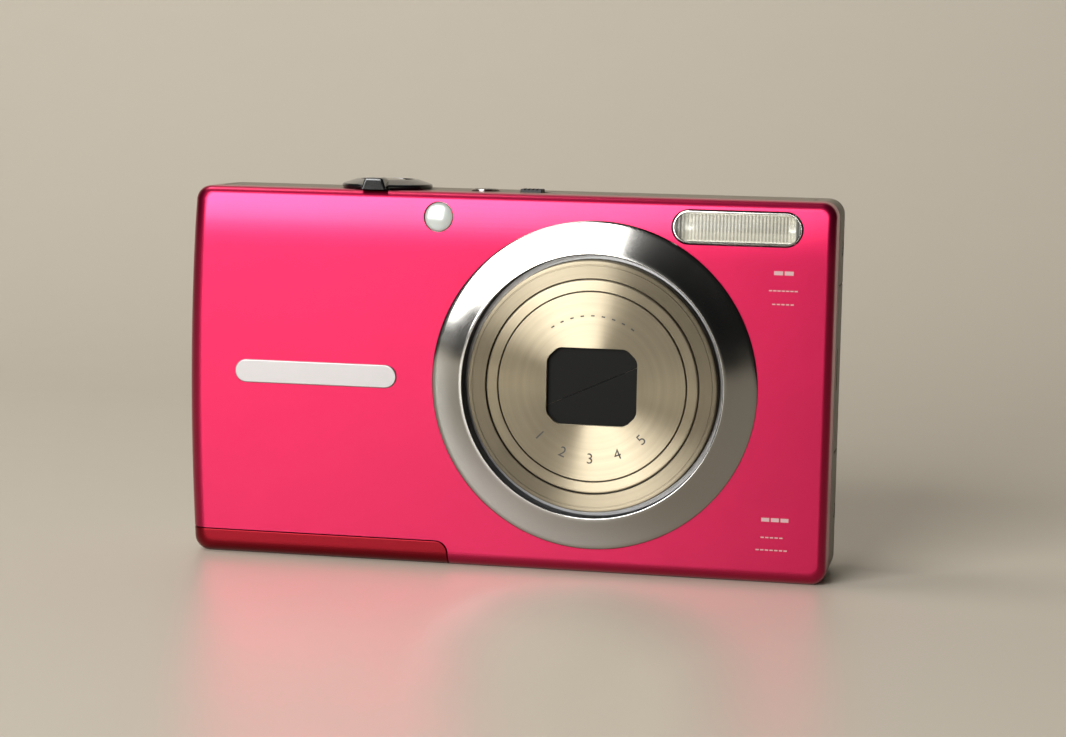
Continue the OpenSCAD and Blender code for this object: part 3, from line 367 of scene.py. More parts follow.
def apply(obj, kind, name, **settings):
    """Adds a modifier, sets it and applies it."""
    choose(obj)
    bpy.ops.object.modifier_add(type=kind)
    modifier = obj.modifiers[-1]
    modifier.name = name
    for key, value in settings.items():
        setattr(modifier, key, value)
    bpy.ops.object.modifier_apply(modifier=modifier.name)


def combine(obj, tool, operation):
    """One boolean with a tool that is then thrown away."""
    apply(obj, "BOOLEAN", operation, operation=operation, object=tool, solver="EXACT")
    choose(tool)
    bpy.ops.object.delete()


def cut(obj, *tools):
    """Takes the tools out of a piece, one after another."""
    for tool in tools:
        combine(obj, tool, "DIFFERENCE")


def join(name, obj, *others):
    """Several solids as one piece."""
    choose(obj, *others)
    bpy.ops.object.join()
    obj.name = name
    return obj


def copied(obj, move):
    """A copy of a piece, moved within its own mesh."""
    choose(obj)
    bpy.ops.object.duplicate(linked=False)
    copy = bpy.context.active_object
    with Shaping(copy):
        bpy.ops.transform.translate(value=move)
    return copy


def soften(obj, width, segments, test=None):
    """Rounds the edges of a piece that pass the test, or all of them."""
    with Shaping(obj) as work:
        if test:
            work.pick("EDGE", test)
        bpy.ops.mesh.bevel(offset=width, segments=segments, profile=0.5)


def finished(obj, body, material, nodes=(), weighted=True):
    """Shades a piece, gives it its finish and puts it on its body."""
    choose(obj)
    bpy.ops.object.shade_smooth_by_angle(angle=SMOOTH_UNDER)
    if weighted:
        apply(obj, "WEIGHTED_NORMAL", "even shading", keep_sharp=True, weight=60)
    if material is not None:
        obj.data.materials.clear()
        obj.data.materials.append(material)
    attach(obj, body)
    if nodes:
        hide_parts(*nodes)
    return obj


def lettering(name, words, size, place, turn, bold=0.0, spacing=1.0, thick=0.012):
    """Raised lettering, made a mesh before it gets its place."""
    deselect()
    bpy.ops.object.text_add(location=place, rotation=turn)
    text = bpy.context.active_object
    text.data.body = words
    text.data.size = size
    text.data.align_x = "CENTER"
    text.data.align_y = "CENTER"
    text.data.offset = bold
    text.data.space_character = spacing
    text.data.resolution_u = 4
    text.data.extrude = thick * MM / 2
    bpy.ops.object.convert(target="MESH")
    obj = settle(name)
    with Shaping(obj) as work:
        work.tidy()
    return obj


# ---- finishes ----


def sockets(tree, inputs, outputs):
    """Gives a node group its inputs, some with a first value, and its outputs."""
    for name, kind, value in inputs:
        socket = tree.interface.new_socket(name=name, in_out="INPUT", socket_type=kind)
        if value is not None:
            socket.default_value = value
    for name, kind in outputs:
        tree.interface.new_socket(name=name, in_out="OUTPUT", socket_type=kind)


def add(tree, kind, values=None, **settings):
    """A node with its settings and its unlinked inputs."""
    node = tree.nodes.new(kind)
    for key, value in settings.items():
        setattr(node, key, value)
    for key, value in (values or {}).items():
        node.inputs[key].default_value = value
    return node


def link(tree, *pairs):
    """Links nodes: each pair is a node and its output, then a node and its input."""
    for source, output, target, entry in pairs:
        tree.links.new(source.outputs[output], target.inputs[entry])


def grain_group():
    """Fine grain: a slow drift of tone, and a close skin of height."""
    if "Fine grain" in bpy.data.node_groups:
        return bpy.data.node_groups["Fine grain"]
    tree = bpy.data.node_groups.new("Fine grain", "ShaderNodeTree")
    sockets(
        tree,
        [("Vector", "NodeSocketVector", None), ("Scale", "NodeSocketFloat", 4000.0)],
        [("Tone", "NodeSocketFloat"), ("Skin", "NodeSocketFloat")],
    )
    enter, leave = add(tree, "NodeGroupInput"), add(tree, "NodeGroupOutput")
    drift = add(tree, "ShaderNodeTexNoise", {"Scale": 70.0, "Detail": 3.0, "Roughness": 0.6})
    close = add(tree, "ShaderNodeTexNoise", {"Detail": 2.0, "Roughness": 0.7})
    link(
        tree,
        (enter, "Vector", drift, "Vector"),
        (enter, "Vector", close, "Vector"),
        (enter, "Scale", close, "Scale"),
        (drift, "Fac", leave, "Tone"),
        (close, "Fac", leave, "Skin"),
    )
    return tree


def handling_group():
    """Handling: faint smudges and a few fine specks of dust."""
    if "Handling" in bpy.data.node_groups:
        return bpy.data.node_groups["Handling"]
    tree = bpy.data.node_groups.new("Handling", "ShaderNodeTree")
    sockets(
        tree,
        [("Vector", "NodeSocketVector", None), ("Amount", "NodeSocketFloat", 0.05)],
        [("Smudge", "NodeSocketFloat"), ("Dust", "NodeSocketFloat")],
    )
    enter, leave = add(tree, "NodeGroupInput"), add(tree, "NodeGroupOutput")
    smear = add(tree, "ShaderNodeTexNoise", {"Scale": 110.0, "Detail": 4.0, "Distortion": 0.6})
    ease = add(tree, "ShaderNodeMapRange", {"From Min": 0.45, "From Max": 0.8})
    strength = add(tree, "ShaderNodeMath", operation="MULTIPLY")
    specks = add(tree, "ShaderNodeTexVoronoi", {"Scale": 420.0})
    small = add(tree, "ShaderNodeMath", {1: 0.035}, operation="LESS_THAN")
    link(
        tree,
        (enter, "Vector", smear, "Vector"),
        (smear, "Fac", ease, "Value"),
        (ease, "Result", strength, 0),
        (enter, "Amount", strength, 1),
        (strength, 0, leave, "Smudge"),
        (enter, "Vector", specks, "Vector"),
        (specks, "Distance", small, 0),
        (small, 0, leave, "Dust"),
    )
    return tree


def turning_group():
    """Turning: the fine rings that a lathe leaves round the Y axis."""
    if "Turning" in bpy.data.node_groups:
        return bpy.data.node_groups["Turning"]
    tree = bpy.data.node_groups.new("Turning", "ShaderNodeTree")
    sockets(
        tree,
        [("Vector", "NodeSocketVector", None), ("Scale", "NodeSocketFloat", 900.0)],
        [("Rings", "NodeSocketFloat"), ("Tone", "NodeSocketFloat")],
    )
    enter, leave = add(tree, "NodeGroupInput"), add(tree, "NodeGroupOutput")
    rings = add(
        tree,
        "ShaderNodeTexWave",
        {"Distortion": 0.0, "Detail": 0.0},
        wave_type="RINGS",
        rings_direction="Y",
        wave_profile="SIN",
    )
    split = add(tree, "ShaderNodeSeparateXYZ")
    flat = add(tree, "ShaderNodeCombineXYZ")
    radius = add(tree, "ShaderNodeVectorMath", operation="LENGTH")
    spread = add(tree, "ShaderNodeMath", {1: 1400.0}, operation="MULTIPLY")
    uneven = add(tree, "ShaderNodeTexNoise", {"Scale": 1.0, "Detail": 3.0}, noise_dimensions="1D")
    link(
        tree,
        (enter, "Vector", rings, "Vector"),
        (enter, "Scale", rings, "Scale"),
        (enter, "Vector", split, 0),
        (split, "X", flat, "X"),
        (split, "Z", flat, "Z"),
        (flat, 0, radius, 0),
        (radius, "Value", spread, 0),
        (spread, 0, uneven, "W"),
        (rings, "Fac", leave, "Rings"),
        (uneven, "Fac", leave, "Tone"),
    )
    return tree


def shade(colour, factor):
    """A colour made lighter or darker, opaque."""
    return (*[min(c * factor, 1.0) for c in colour[:3]], 1.0)


def material(name, colour, rough, grain=4000.0, skin_depth=0.004, drift=0.06, smudge=0.05,
             turned_about=None, anisotropy=0.0, rib_pitch=0.0, **shader):
    """A finish: tone and gloss drift with the grain, smudges dull it, and its skin is raised; on a
    ribbed window the tone follows the ribs as painted light and dark stripes.
    """
    made = bpy.data.materials.get(name)
    if made:
        return made
    made = bpy.data.materials.new(name)
    made.use_nodes = True
    tree = made.node_tree
    surface = tree.nodes["Principled BSDF"]
    for key, value in shader.items():
        surface.inputs[key.replace("_", " ")].default_value = value
    where = add(tree, "ShaderNodeTexCoord")
    fine = add(tree, "ShaderNodeGroup", node_tree=grain_group())
    fine.inputs["Scale"].default_value = grain
    worn = add(tree, "ShaderNodeGroup", node_tree=handling_group())
    worn.inputs["Amount"].default_value = smudge
    link(tree, (where, "Object", fine, "Vector"), (where, "Object", worn, "Vector"))
    tone, height = fine.outputs["Tone"], fine.outputs["Skin"]
    if turned_about is not None:
        centre = add(tree, "ShaderNodeMapping", {"Location": -Vector(turned_about)})
        lathe = add(tree, "ShaderNodeGroup", node_tree=turning_group())
        link(tree, (where, "Object", centre, "Vector"), (centre, 0, lathe, "Vector"))
        tone, height = lathe.outputs["Tone"], lathe.outputs["Rings"]
    if rib_pitch:
        # The bands of the texture repeat every pi / 10 divided by their scale
        bands = add(tree, "ShaderNodeTexWave", {"Scale": math.pi / 10 / rib_pitch})
        veil = add(tree, "ShaderNodeMapRange", {"To Min": 0.08, "To Max": 0.24})
        link(
            tree,
            (where, "Object", bands, "Vector"),
            (bands, "Fac", veil, "Value"),
            (veil, "Result", surface, "Alpha"),
        )
        # The ribs also stripe the colour lighter and darker: painted light and shade of the prisms
        tone = bands.outputs["Fac"]
    colours = add(tree, "ShaderNodeMix", data_type="RGBA")
    colours.inputs["A"].default_value = shade(colour, 1 - drift)
    colours.inputs["B"].default_value = shade(colour, 1 + drift)
    gloss = add(tree, "ShaderNodeMapRange", {"To Min": rough * 0.9, "To Max": rough * 1.1})
    dulled = add(tree, "ShaderNodeMath", operation="ADD", use_clamp=True)
    raised = add(tree, "ShaderNodeBump", {"Strength": 1.0, "Distance": skin_depth * MM})
    tree.links.new(tone, colours.inputs["Factor"])
    tree.links.new(height, raised.inputs["Height"])
    link(
        tree,
        (colours, "Result", surface, "Base Color"),
        (fine, "Tone", gloss, "Value"),
        (gloss, "Result", dulled, 0),
        (worn, "Smudge", dulled, 1),
        (dulled, 0, surface, "Roughness"),
        (raised, "Normal", surface, "Normal"),
    )
    if anisotropy:
        surface.inputs["Anisotropic"].default_value = anisotropy
        surface.inputs["Anisotropic Rotation"].default_value = 0.25
        around = add(tree, "ShaderNodeTangent", direction_type="RADIAL", axis="Y")
        link(tree, (around, "Tangent", surface, "Tangent"))
    return made


def finish(name):
    """The finish of this name, made when it is first needed."""
    c = bpy.context.scene.camera_colours
    black = tuple(c.black)
    on_the_lathe = dict(skin_depth=0.0016, turned_about=layout().lens, Metallic=1.0)
    recipes = {
        "anodised_pink": dict(
            colour=c.pink, rough=0.33, grain=9000.0, skin_depth=0.0022, drift=0.03, smudge=0.03,
            Metallic=0.96, Coat_Weight=0.36, Coat_Roughness=0.25,
        ),
        "gloss_red": dict(
            colour=c.red, rough=0.32, grain=2500.0, skin_depth=0.001, drift=0.04,
            Metallic=0.9, Coat_Weight=0.04, Coat_Roughness=0.16,
        ),
        "moulded_grey": dict(
            colour=c.grey, rough=0.46, grain=5200.0, skin_depth=0.006, drift=0.05, smudge=0.04,
            Metallic=0.1,
        ),
        "bright_chrome": dict(
            colour=c.chrome, rough=0.13, grain=3000.0, skin_depth=0.0003, drift=0.02,
            smudge=0.05, Metallic=1.0,
        ),
        "turned_champagne": dict(
            colour=c.champagne, rough=0.36, drift=0.1, anisotropy=1.0, **on_the_lathe
        ),
        # A darker copy of the champagne: painted shade on the outer barrel, which sits in shadow
        # inside the lens ring
        "turned_champagne_painted_shade": dict(
            colour=shade(c.champagne, 0.7), rough=0.36, drift=0.1, anisotropy=1.0, **on_the_lathe
        ),
        "turned_dark": dict(
            colour=shade(c.champagne, 0.6), rough=0.32, drift=0.16, anisotropy=0.9, **on_the_lathe
        ),
        "blade_black": dict(
            colour=(0.0045, 0.0045, 0.0038), rough=0.45, skin_depth=0.001, Specular_IOR_Level=0.08,
        ),
        "gloss_black": dict(
            colour=shade(black, 0.6), rough=0.14, skin_depth=0.0006, Coat_Weight=0.6,
            Coat_Roughness=0.06,
        ),
        "matt_black": dict(colour=black, rough=0.55, grain=3000.0, skin_depth=0.006),
        "milky_lamp": dict(
            colour=(0.4, 0.385, 0.345), rough=0.22, skin_depth=0.001, Coat_Weight=0.6,
            Coat_Roughness=0.08, Subsurface_Weight=0.2,
        ),
        "clear_window": dict(
            colour=(0.9, 0.89, 0.84), rough=0.1, skin_depth=0.0004, drift=0.01, smudge=0.02,
            Alpha=0.25, IOR=1.49,
        ),
        # Its colour is striped lighter and darker along the ribs: painted light and shade of the
        # prisms
        "ribbed_window": dict(
            colour=(0.56, 0.54, 0.44), rough=0.12, skin_depth=0.0004, drift=0.35, smudge=0.02,
            rib_pitch=0.5 * MM, IOR=1.49,
        ),
        "coated_lens": dict(
            colour=(0.72, 0.78, 0.9), rough=0.03, skin_depth=0.0001, drift=0.01, smudge=0.0,
            Transmission_Weight=0.9, IOR=1.6, Coat_Weight=0.5,
        ),
        "satin_silver": dict(
            colour=(0.3, 0.285, 0.28), rough=0.36, skin_depth=0.0008, drift=0.03, Metallic=0.9,
        ),
        "mirror_silver": dict(
            colour=(0.88, 0.86, 0.76), rough=0.3, skin_depth=0.0008, drift=0.03, Metallic=0.55,
        ),
        "satin_steel": dict(
            colour=(0.42, 0.42, 0.42), rough=0.34, grain=2600.0, skin_depth=0.002, Metallic=1.0,
        ),
        "print_silver": dict(
            colour=c.print_silver, rough=0.42, skin_depth=0.001, drift=0.03, Metallic=0.1,
            Specular_IOR_Level=0.3,
        ),
        "ink_dark": dict(colour=(0.02, 0.018, 0.015), rough=0.4, skin_depth=0.001, drift=0.1),
        "key_grey": dict(
            colour=shade(c.grey, 0.6), rough=0.34, grain=5200.0, skin_depth=0.003, Metallic=0.1,
        ),
        "display_black": dict(
            colour=(0.006, 0.006, 0.007), rough=0.07, skin_depth=0.0001, drift=0.2, smudge=0.05,
            Coat_Weight=0.8, Coat_Roughness=0.03,
        ),
        "display_panel": dict(
            colour=(0.016, 0.018, 0.022), rough=0.2, skin_depth=0.0002, drift=0.15,
            Coat_Weight=0.8, Coat_Roughness=0.04,
        ),
        "board_green": dict(
            colour=c.board, rough=0.4, grain=1600.0, skin_depth=0.01, drift=0.2,
        ),
        "cell_wrap": dict(colour=c.cell, rough=0.36, grain=1800.0, skin_depth=0.004, drift=0.08),
        "card_blue": dict(
            colour=(0.014, 0.032, 0.14), rough=0.4, grain=2600.0, skin_depth=0.005, drift=0.1,
        ),
        "gear_brass": dict(
            colour=(0.62, 0.42, 0.14), rough=0.32, grain=2400.0, skin_depth=0.002, Metallic=1.0,
        ),
        "latch_orange": dict(
            colour=(0.72, 0.2, 0.02), rough=0.4, grain=3000.0, skin_depth=0.004, drift=0.05,
        ),
        "sensor_glass": dict(
            colour=(0.03, 0.05, 0.11), rough=0.08, skin_depth=0.0001, Coat_Weight=0.8,
            Coat_Roughness=0.04,
        ),
        "key_rubber": dict(
            colour=(0.05, 0.05, 0.052), rough=0.7, grain=2000.0, skin_depth=0.01, drift=0.1,
        ),
        "sleeve_black": dict(
            colour=(0.02, 0.02, 0.03), rough=0.35, grain=1200.0, skin_depth=0.006, drift=0.1,
        ),
        "movie_red": dict(colour=(0.5, 0.02, 0.02), rough=0.35, skin_depth=0.001, drift=0.05),
    }
    return material(name, **recipes[name])


# ---- the body's form ----


def rounding(r, d):
    """How far a rounded edge of radius r stands in from the side, at depth d."""
    return 0.0 if d >= r else r - math.sqrt(max(r * r - (r - d) ** 2, 0.0))


def stands_in(r, d, g):
    """The same for a form that lies g inside the body."""
    return g + rounding(max(r - g, 0.2 * MM), max(d - g, 0.0))


def section(y, left, right, base, top):
    """One outline of the body at depth y, set in from its four sides."""
    s, p = bpy.context.scene.camera_sizes, layout()
    k = max(s.corner_r - min(left, top), 0.5 * MM)
    x0, x1, z0, z1 = p.left + s.side_bow + left, p.right - right, base, p.top - top
    mid, half = (z0 + z1) / 2, (z1 - z0) / 2 - k
    bow = [
        (x0 - s.side_bow * (1 - (1 - i / 12) ** 2), mid + (1 - i / 12) * half)
        for i in range(1, 24)
    ]
    outline = soft_outline(x0, z0, x1 - x0, z1 - z0, k, 9) + bow
    return [Vector((x, y, z)) for x, z in outline]


def body_rings(g, start, end, drawn_in=0.0):
    """Rings of the body's form, or of the form g inside it, between two depths."""
    s, p = bpy.context.scene.camera_sizes, layout()
    steps = 12
    front = [
        p.front + g + max(s.grip_edge_r - g, 0.3 * MM) * (1 - math.cos(math.pi / 2 * i / steps))
        for i in range(steps + 1)
    ]
    back = [
        p.back - g - max(s.back_side_r - g, 0.3 * MM) * (1 - math.cos(math.pi / 2 * i / steps))
        for i in range(steps, -1, -1)
    ]
    small = [p.front + g + 0.5 * MM * i for i in (0.08, 0.25, 0.6)] if g == 0 else []
    depths = sorted({round(y, 8) for y in front + back + small if start < y < end} | {start, end})
    rings = []
    for y in depths:
        sides = [
            max(stands_in(near, y - p.front, g), stands_in(far, p.back - y, g)) + drawn_in
            for near, far in (
                (s.grip_edge_r, s.back_side_r), (s.edge_r, s.back_side_r),
                (s.base_edge_r, s.back_edge_r), (s.edge_r, s.back_edge_r),
            )
        ]
        rings.append(section(y, *sides))
    return rings


def door_outline(grow=0.0):
    """The battery door's outline on the front, grown on its top and right."""
    s, p = bpy.context.scene.camera_sizes, layout()
    r = 1.75 * MM + grow
    x1, z1 = p.door_end + grow, s.door_h + grow
    return (
        [(p.left - 3 * MM, -3 * MM), (x1, -3 * MM)]
        + arc(x1 - r, z1 - r, r, 0, 90, 10)
        + [(p.left - 3 * MM, z1)]
    )


def flash_outline(grow=0.0):
    """The flash's round-ended outline on the front, grown all round."""
    p, steps = layout(), 20
    r, half = p.flash_h / 2 + grow, p.flash_w / 2 - p.flash_h / 2
    return arc(p.flash.x + half, p.flash.z, r, -90, 90, steps) + arc(
        p.flash.x - half, p.flash.z, r, 90, 270, steps
    )


def roll_back(obj):
    """Rolls the top of the front face back in one smooth band, cut into strips first."""
    s, p = bpy.context.scene.camera_sizes, layout()
    start, strips = p.top - s.crown_h, 13
    with Shaping(obj) as work:
        for i in range(strips):
            work.pick("FACE", lambda f: f.calc_center_median().y < p.front + 0.9 * MM)
            bpy.ops.mesh.bisect(
                plane_co=(0, 0, start + s.crown_h * i / strips), plane_no=(0, 0, 1)
            )
        lay_back(work.mesh())


def lay_back(bm):
    """Moves the points near the front's top edge back, less and less towards the inside."""
    s, p = bpy.context.scene.camera_sizes, layout()
    start, curve, fade_over = p.top - s.crown_h, 2.5, 3 * MM
    for v in bm.verts:
        if v.co.z > start and v.co.y < p.front + fade_over:
            fade = 1 - max(v.co.y - p.front, 0.0) / fade_over
            v.co.y += s.crown * ((v.co.z - start) / s.crown_h) ** curve * fade


def follow_crown(obj):
    """Lays a fitting back with the rolled part of the front that it sits in."""
    with Shaping(obj) as work:
        lay_back(work.mesh())


class CAMERA_OT_front_cover(bpy.types.Operator):
    """Model the anodised front cover with its openings"""

    bl_idname = "camera_parts.front_cover"
    bl_label = "Front cover"

    def execute(self, context):
        s, p = context.scene.camera_sizes, layout()
        outer = body_rings(0.0, p.front, p.seam - 0.09 * MM)
        lip = body_rings(0.0, p.seam - 0.03 * MM, p.seam, 0.07 * MM)[-1:]
        inner = body_rings(s.front_wall, p.in_front, p.seam)
        cover = skin("front_cover_skin", outer + lip + inner[::-1])
        roll_back(cover)
        reach, inside = p.front - 3 * MM, p.in_front + 3 * MM
        scoop_r, slope = 11.8 * MM, math.radians(26.6)
        deselect()
        bpy.ops.mesh.primitive_cylinder_add(
            vertices=160,
            radius=scoop_r,
            depth=8 * MM,
            location=(p.shutter.x, p.front, p.top - 1.45 * MM + scoop_r / math.cos(slope)),
            rotation=(slope - math.pi / 2, 0, 0),
        )
        scoop = settle("scoop")
        cut(
            cover,
            rod("drill", "Y", p.lens, s.ring_r - 1.7 * MM, reach, inside, s.smoothness),
            rod("drill", "Y", p.lamp, 2.2 * MM, reach, inside, 64),
            slab("drill", flash_outline(0.16 * MM), reach, inside),
            slab("drill", door_outline(s.seam + 0.03 * MM), reach, p.seam + 3 * MM),
            rod("drill", "Z", p.shutter, p.hub_r + 0.15 * MM, p.top - 4 * MM, p.top + 3 * MM, 96),
            scoop,
        )
        finished(cover, "root", finish("anodised_pink"), ["front_cover"])
        return {"FINISHED"}


class CAMERA_OT_battery_door(bpy.types.Operator):
    """Model the battery door that wraps under the grip, with its hinge knuckles"""

    bl_idname = "camera_parts.battery_door"
    bl_label = "Battery door"

    def execute(self, context):
        s, p = context.scene.camera_sizes, layout()
        door = skin("battery_door_skin", body_rings(0.0, p.front, p.hinge.y))
        combine(
            door, slab("keep", door_outline(), p.front - 3 * MM, p.hinge.y + MM), "INTERSECT"
        )
        with Shaping(door) as work:
            work.pick(
                "EDGE",
                lambda e: len(e.link_faces) == 2
                and e.calc_face_angle(0) > math.radians(50)
                and all(v.co.y < p.seam + 4 * MM for v in e.verts)
                and (
                    all(v.co.z > s.door_h - 0.01 * MM for v in e.verts)
                    or all(v.co.x > p.door_end - 1.8 * MM for v in e.verts)
                ),
            )
            bpy.ops.mesh.bevel(offset=0.16 * MM, segments=3, profile=0.5, clamp_overlap=True)
        floor, wall = p.hinge.z, 0.9 * MM
        cut(
            door,
            box(
                "hollow",
                (p.left + s.side_bow + wall, p.front + wall, floor),
                (p.door_end + 3 * MM, p.hinge.y + 3 * MM, s.door_h + 3 * MM),
            ),
        )
        # Knuckles on either side of the two lugs of the sliding carrier
        start, half_gap = p.left + 3 * MM, 2.2 * MM
        ends = [start]
        for share in (0.3, 0.68):
            x = start + (s.door_w - 6 * MM) * share
            ends += [x - half_gap, x + half_gap]
            cut(door, box("gap", (x - half_gap, p.hinge.y - 1.5 * MM, -MM),
                          (x + half_gap, p.hinge.y + 2 * MM, s.door_h + MM)))
        ends.append(p.door_end - 1 * MM)
        bore, r, e = 0.55 * MM, 1.2 * MM, 0.15 * MM
        knuckles = [
            turned("knuckle", "X", p.hinge,
                   [(bore, a), (r - e, a), (r, a + e), (r, b - e), (r - e, b), (bore, b),
                    (bore, a)], 40)
            for a, b in zip(ends[::2], ends[1::2])
        ]
        door = join("battery_door_skin", door, *knuckles)
        finished(door, "battery_door", finish("gloss_red"), ["battery_door"])
        return {"FINISHED"}


class CAMERA_OT_rear_cover(bpy.types.Operator):
    """Model the moulded rear cover with its openings and recesses"""

    bl_idname = "camera_parts.rear_cover"
    bl_label = "Rear cover"

    def execute(self, context):
        s, p = context.scene.camera_sizes, layout()
        start = p.seam + s.seam
        inner = body_rings(s.back_wall, start, p.in_back)
        lip = body_rings(0.0, start, start + 0.03 * MM, 0.07 * MM)[:1]
        outer = body_rings(0.0, start + 0.09 * MM, p.back)
        cover = skin("rear_cover_skin", inner[::-1] + lip + outer)
        # Walls of the strap's recess, and the tray behind the socket cover
        z0, z1 = p.strap_z
        tray_x = p.right - s.back_wall - 1.6 * MM
        for low, high in (
            ((p.left + 0.9 * MM, p.strap_y - 2.6 * MM, z0 - 1.5 * MM),
             (p.left + 4 * MM, p.strap_y + 2.4 * MM, z1 + 1.5 * MM)),
            ((tray_x, p.cover_front - 0.9 * MM, p.cover_z[0] - 1.2 * MM),
             (p.right - 0.6 * MM, p.cover_hinge + 1.3 * MM, p.cover_z[1] + 1.2 * MM)),
        ):
            combine(cover, box("wall", low, high), "UNION")
        far, gap, play = 3 * MM, 0.08 * MM, 0.15 * MM
        dx, dz = p.display
        low, high = p.cover_z[0] - play, p.cover_z[1] + play
        hinge_x, hinge_r = p.right - 0.6 * MM, 0.75 * MM
        socket_deep = 3.4 * MM
        socket_y = p.chassis_y - 0.6 * MM - socket_deep
        tools = [
            box("seat", (p.left + p.top_side - s.seam, p.seam - far, p.top - p.top_wall - MM),
                (p.right - p.top_side + s.seam, p.back - 5 * MM + s.seam, p.top + far)),
            box("way", (p.left - far, p.seam - far, -far),
                (p.door_end + s.seam, p.hinge.y + 1.5 * MM, s.door_h + s.seam)),
            slab("pane", soft_outline(dx - gap, dz - gap, s.display_w + 2 * gap,
                 s.display_h + 2 * gap, 1.2 * MM), p.back - 0.75 * MM, p.back + far),
            slab("light", soft_outline(dx + 1.6 * MM, dz + 1.6 * MM, s.display_w - 3.2 * MM,
                 s.display_h - 3.2 * MM, 0.6 * MM), p.in_back - far, p.back),
            rod("hole", "Y", p.nav, s.nav_r + 0.3 * MM, p.in_back - far, p.back + far, 128),
            box("strap", (p.left - far, p.strap_y - 1.8 * MM, z0),
                (p.left + 3 * MM, p.strap_y + 1.8 * MM, z1)),
            box("flap", (tray_x + 0.7 * MM, p.cover_front - play, low),
                (p.right + far, p.cover_hinge, high)),
            rod("flap", "Z", (hinge_x, p.cover_hinge, 0), hinge_r, low, high, 48),
            box("flap", (hinge_x, p.cover_hinge - MM, low),
                (p.right + far, p.cover_hinge + hinge_r, high)),
            box("socket", (tray_x - far, socket_y - play / 2, 25 * MM - play / 2),
                (p.right + far, socket_y + socket_deep + play / 2, 34 * MM + play / 2)),
            rod("bush", "Z", p.tripod, 4.25 * MM, -far, s.back_wall + far, 96),
        ]
        for x, z, r in p.keys.values():
            tools.append(rod("hole", "Y", (x, 0, z), r + play, p.in_back - far, p.back + far, 64))
        for side, z in p.screws:
            # The grip side bows, so its screw is seated deeper there
            face = side * (s.body_w / 2 - (0.1 if side > 0 else 0.3) * MM)
            for r, inward, outward in ((1.15 * MM, 0.5 * MM, far), (0.75 * MM, 3.7 * MM, 0)):
                a, b = sorted((face - side * inward, face + side * outward))
                tools.append(rod("screw", "X", (0, p.screw_y, z), r, a, b, 40))
        cut(cover, *tools)
        finished(cover, "root", finish("moulded_grey"), ["rear_cover"])
        return {"FINISHED"}


class CAMERA_OT_top_plate(bpy.types.Operator):
    """Model the top plate with its cup, slot and small holes"""

    bl_idname = "camera_parts.top_plate"
    bl_label = "Top plate"

    def execute(self, context):
        s, p = context.scene.camera_sizes, layout()
        plate = box(
            "top_plate_skin",
            (p.left + p.top_side, p.seam + s.seam, p.top - p.top_wall),
            (p.right - p.top_side, p.back - 5 * MM, p.top),
        )
        soften(plate, 0.12 * MM, 3, lambda e: all(v.co.z > p.top - TINY for v in e.verts))
        cup_r = p.hub_r + 1 * MM
        combine(
            plate,
            rod("cup", "Z", p.shutter, cup_r, p.top - 2.8 * MM, p.top - 0.6 * MM, 96),
            "UNION",
        )
        below, above = p.top - 6 * MM, p.top + 3 * MM
        tools = [
            rod("bore", "Z", p.shutter, p.hub_r + 0.15 * MM, p.top - 2 * MM, above, 96),
            rod("bore", "Z", p.shutter, 1.55 * MM, below, above, 40),
            rod("bore", "Z", p.power, 2.15 * MM, below, above, 64),
            box("slot", (p.mode.x - 1.75 * MM, -1.35 * MM, below),
                (p.mode.x + 5.75 * MM, 1.35 * MM, above)),
            rod("hole", "Z", p.mic, 0.4 * MM, below, above, 20),
        ]
        # The speaker has one hole in the middle and six round it
        around = [Matrix.Rotation(TURN * i / 6, 3, "Z") @ Vector((1.6 * MM, 0, 0))
                  for i in range(6)]
        for out in [Vector(), *around]:
            tools.append(rod("hole", "Z", p.speaker + out, 0.35 * MM, below, above, 20))
        cut(plate, *tools)
        finished(plate, "root", finish("moulded_grey"), ["top_plate"])
        return {"FINISHED"}


# ---- lens ----


class CAMERA_OT_lens_ring(bpy.types.Operator):
    """Model the plated ring round the lens"""

    bl_idname = "camera_parts.lens_ring"
    bl_label = "Lens ring"

    def execute(self, context):
        s, p = context.scene.camera_sizes, layout()
        r0, r1 = s.ring_bore_r, s.ring_r
        lip = 0.2 * MM
        crest_r, seat_r = r0 + lip, r1 - 1.75 * MM
        swell, steps = 0.05 * MM, 10
        # From the crest the face falls away on a shallow curve to the cover
        a, b = Vector((crest_r, p.crest)), Vector((r1 - 0.25 * MM, p.front - 0.28 * MM))
        out = Vector((a.y - b.y, b.x - a.x)).normalized()
        face = []
        for i in range(steps + 1):
            t = i / steps
            q = a.lerp(b, t) + out * (swell * math.sin(math.pi * t))
            face.append((q.x, min(max(q.y, p.crest), p.front)))
        profile = (
            [(r0, p.in_front + 0.1 * MM), (r0, p.crest + lip)]
            + arc(r0 + lip, p.crest + lip, lip, 180, 270, 6)
            + face
            + [(r1 - 0.08 * MM, p.front - 0.16 * MM), (r1, p.front), (seat_r, p.front),
               (seat_r, p.in_front + 0.1 * MM), (r0, p.in_front + 0.1 * MM)]
        )
        ring = turned("lens_ring_skin", "Y", p.lens, profile, s.smoothness)
        # The bore and its lip are painted black as shade, so that the gap round the barrel stays
        # dark
        two_finishes(ring, "bright_chrome", "matt_black", lambda f: in_painted_gap_shade(f, 0.88))
        finished(ring, "root", None, ["lens_ring"])
        return {"FINISHED"}


def two_finishes(obj, name, other, test):
    """Gives a piece one finish, and another to the faces that pass the test."""
    choose(obj)
    for each in (name, other):
        bpy.ops.object.material_slot_add()
        obj.material_slots[-1].material = finish(each)
    for f in obj.data.polygons:
        f.material_index = int(test(f))


def in_painted_gap_shade(f, forward=0.3):
    """Whether a face of a lens piece looks at the lens axis, and not too far forward: such faces
    are painted black as the shade in the gaps.
    """
    out = f.center - layout().lens
    return abs(f.normal.y) < forward and f.normal.x * out.x + f.normal.z * out.z < 0


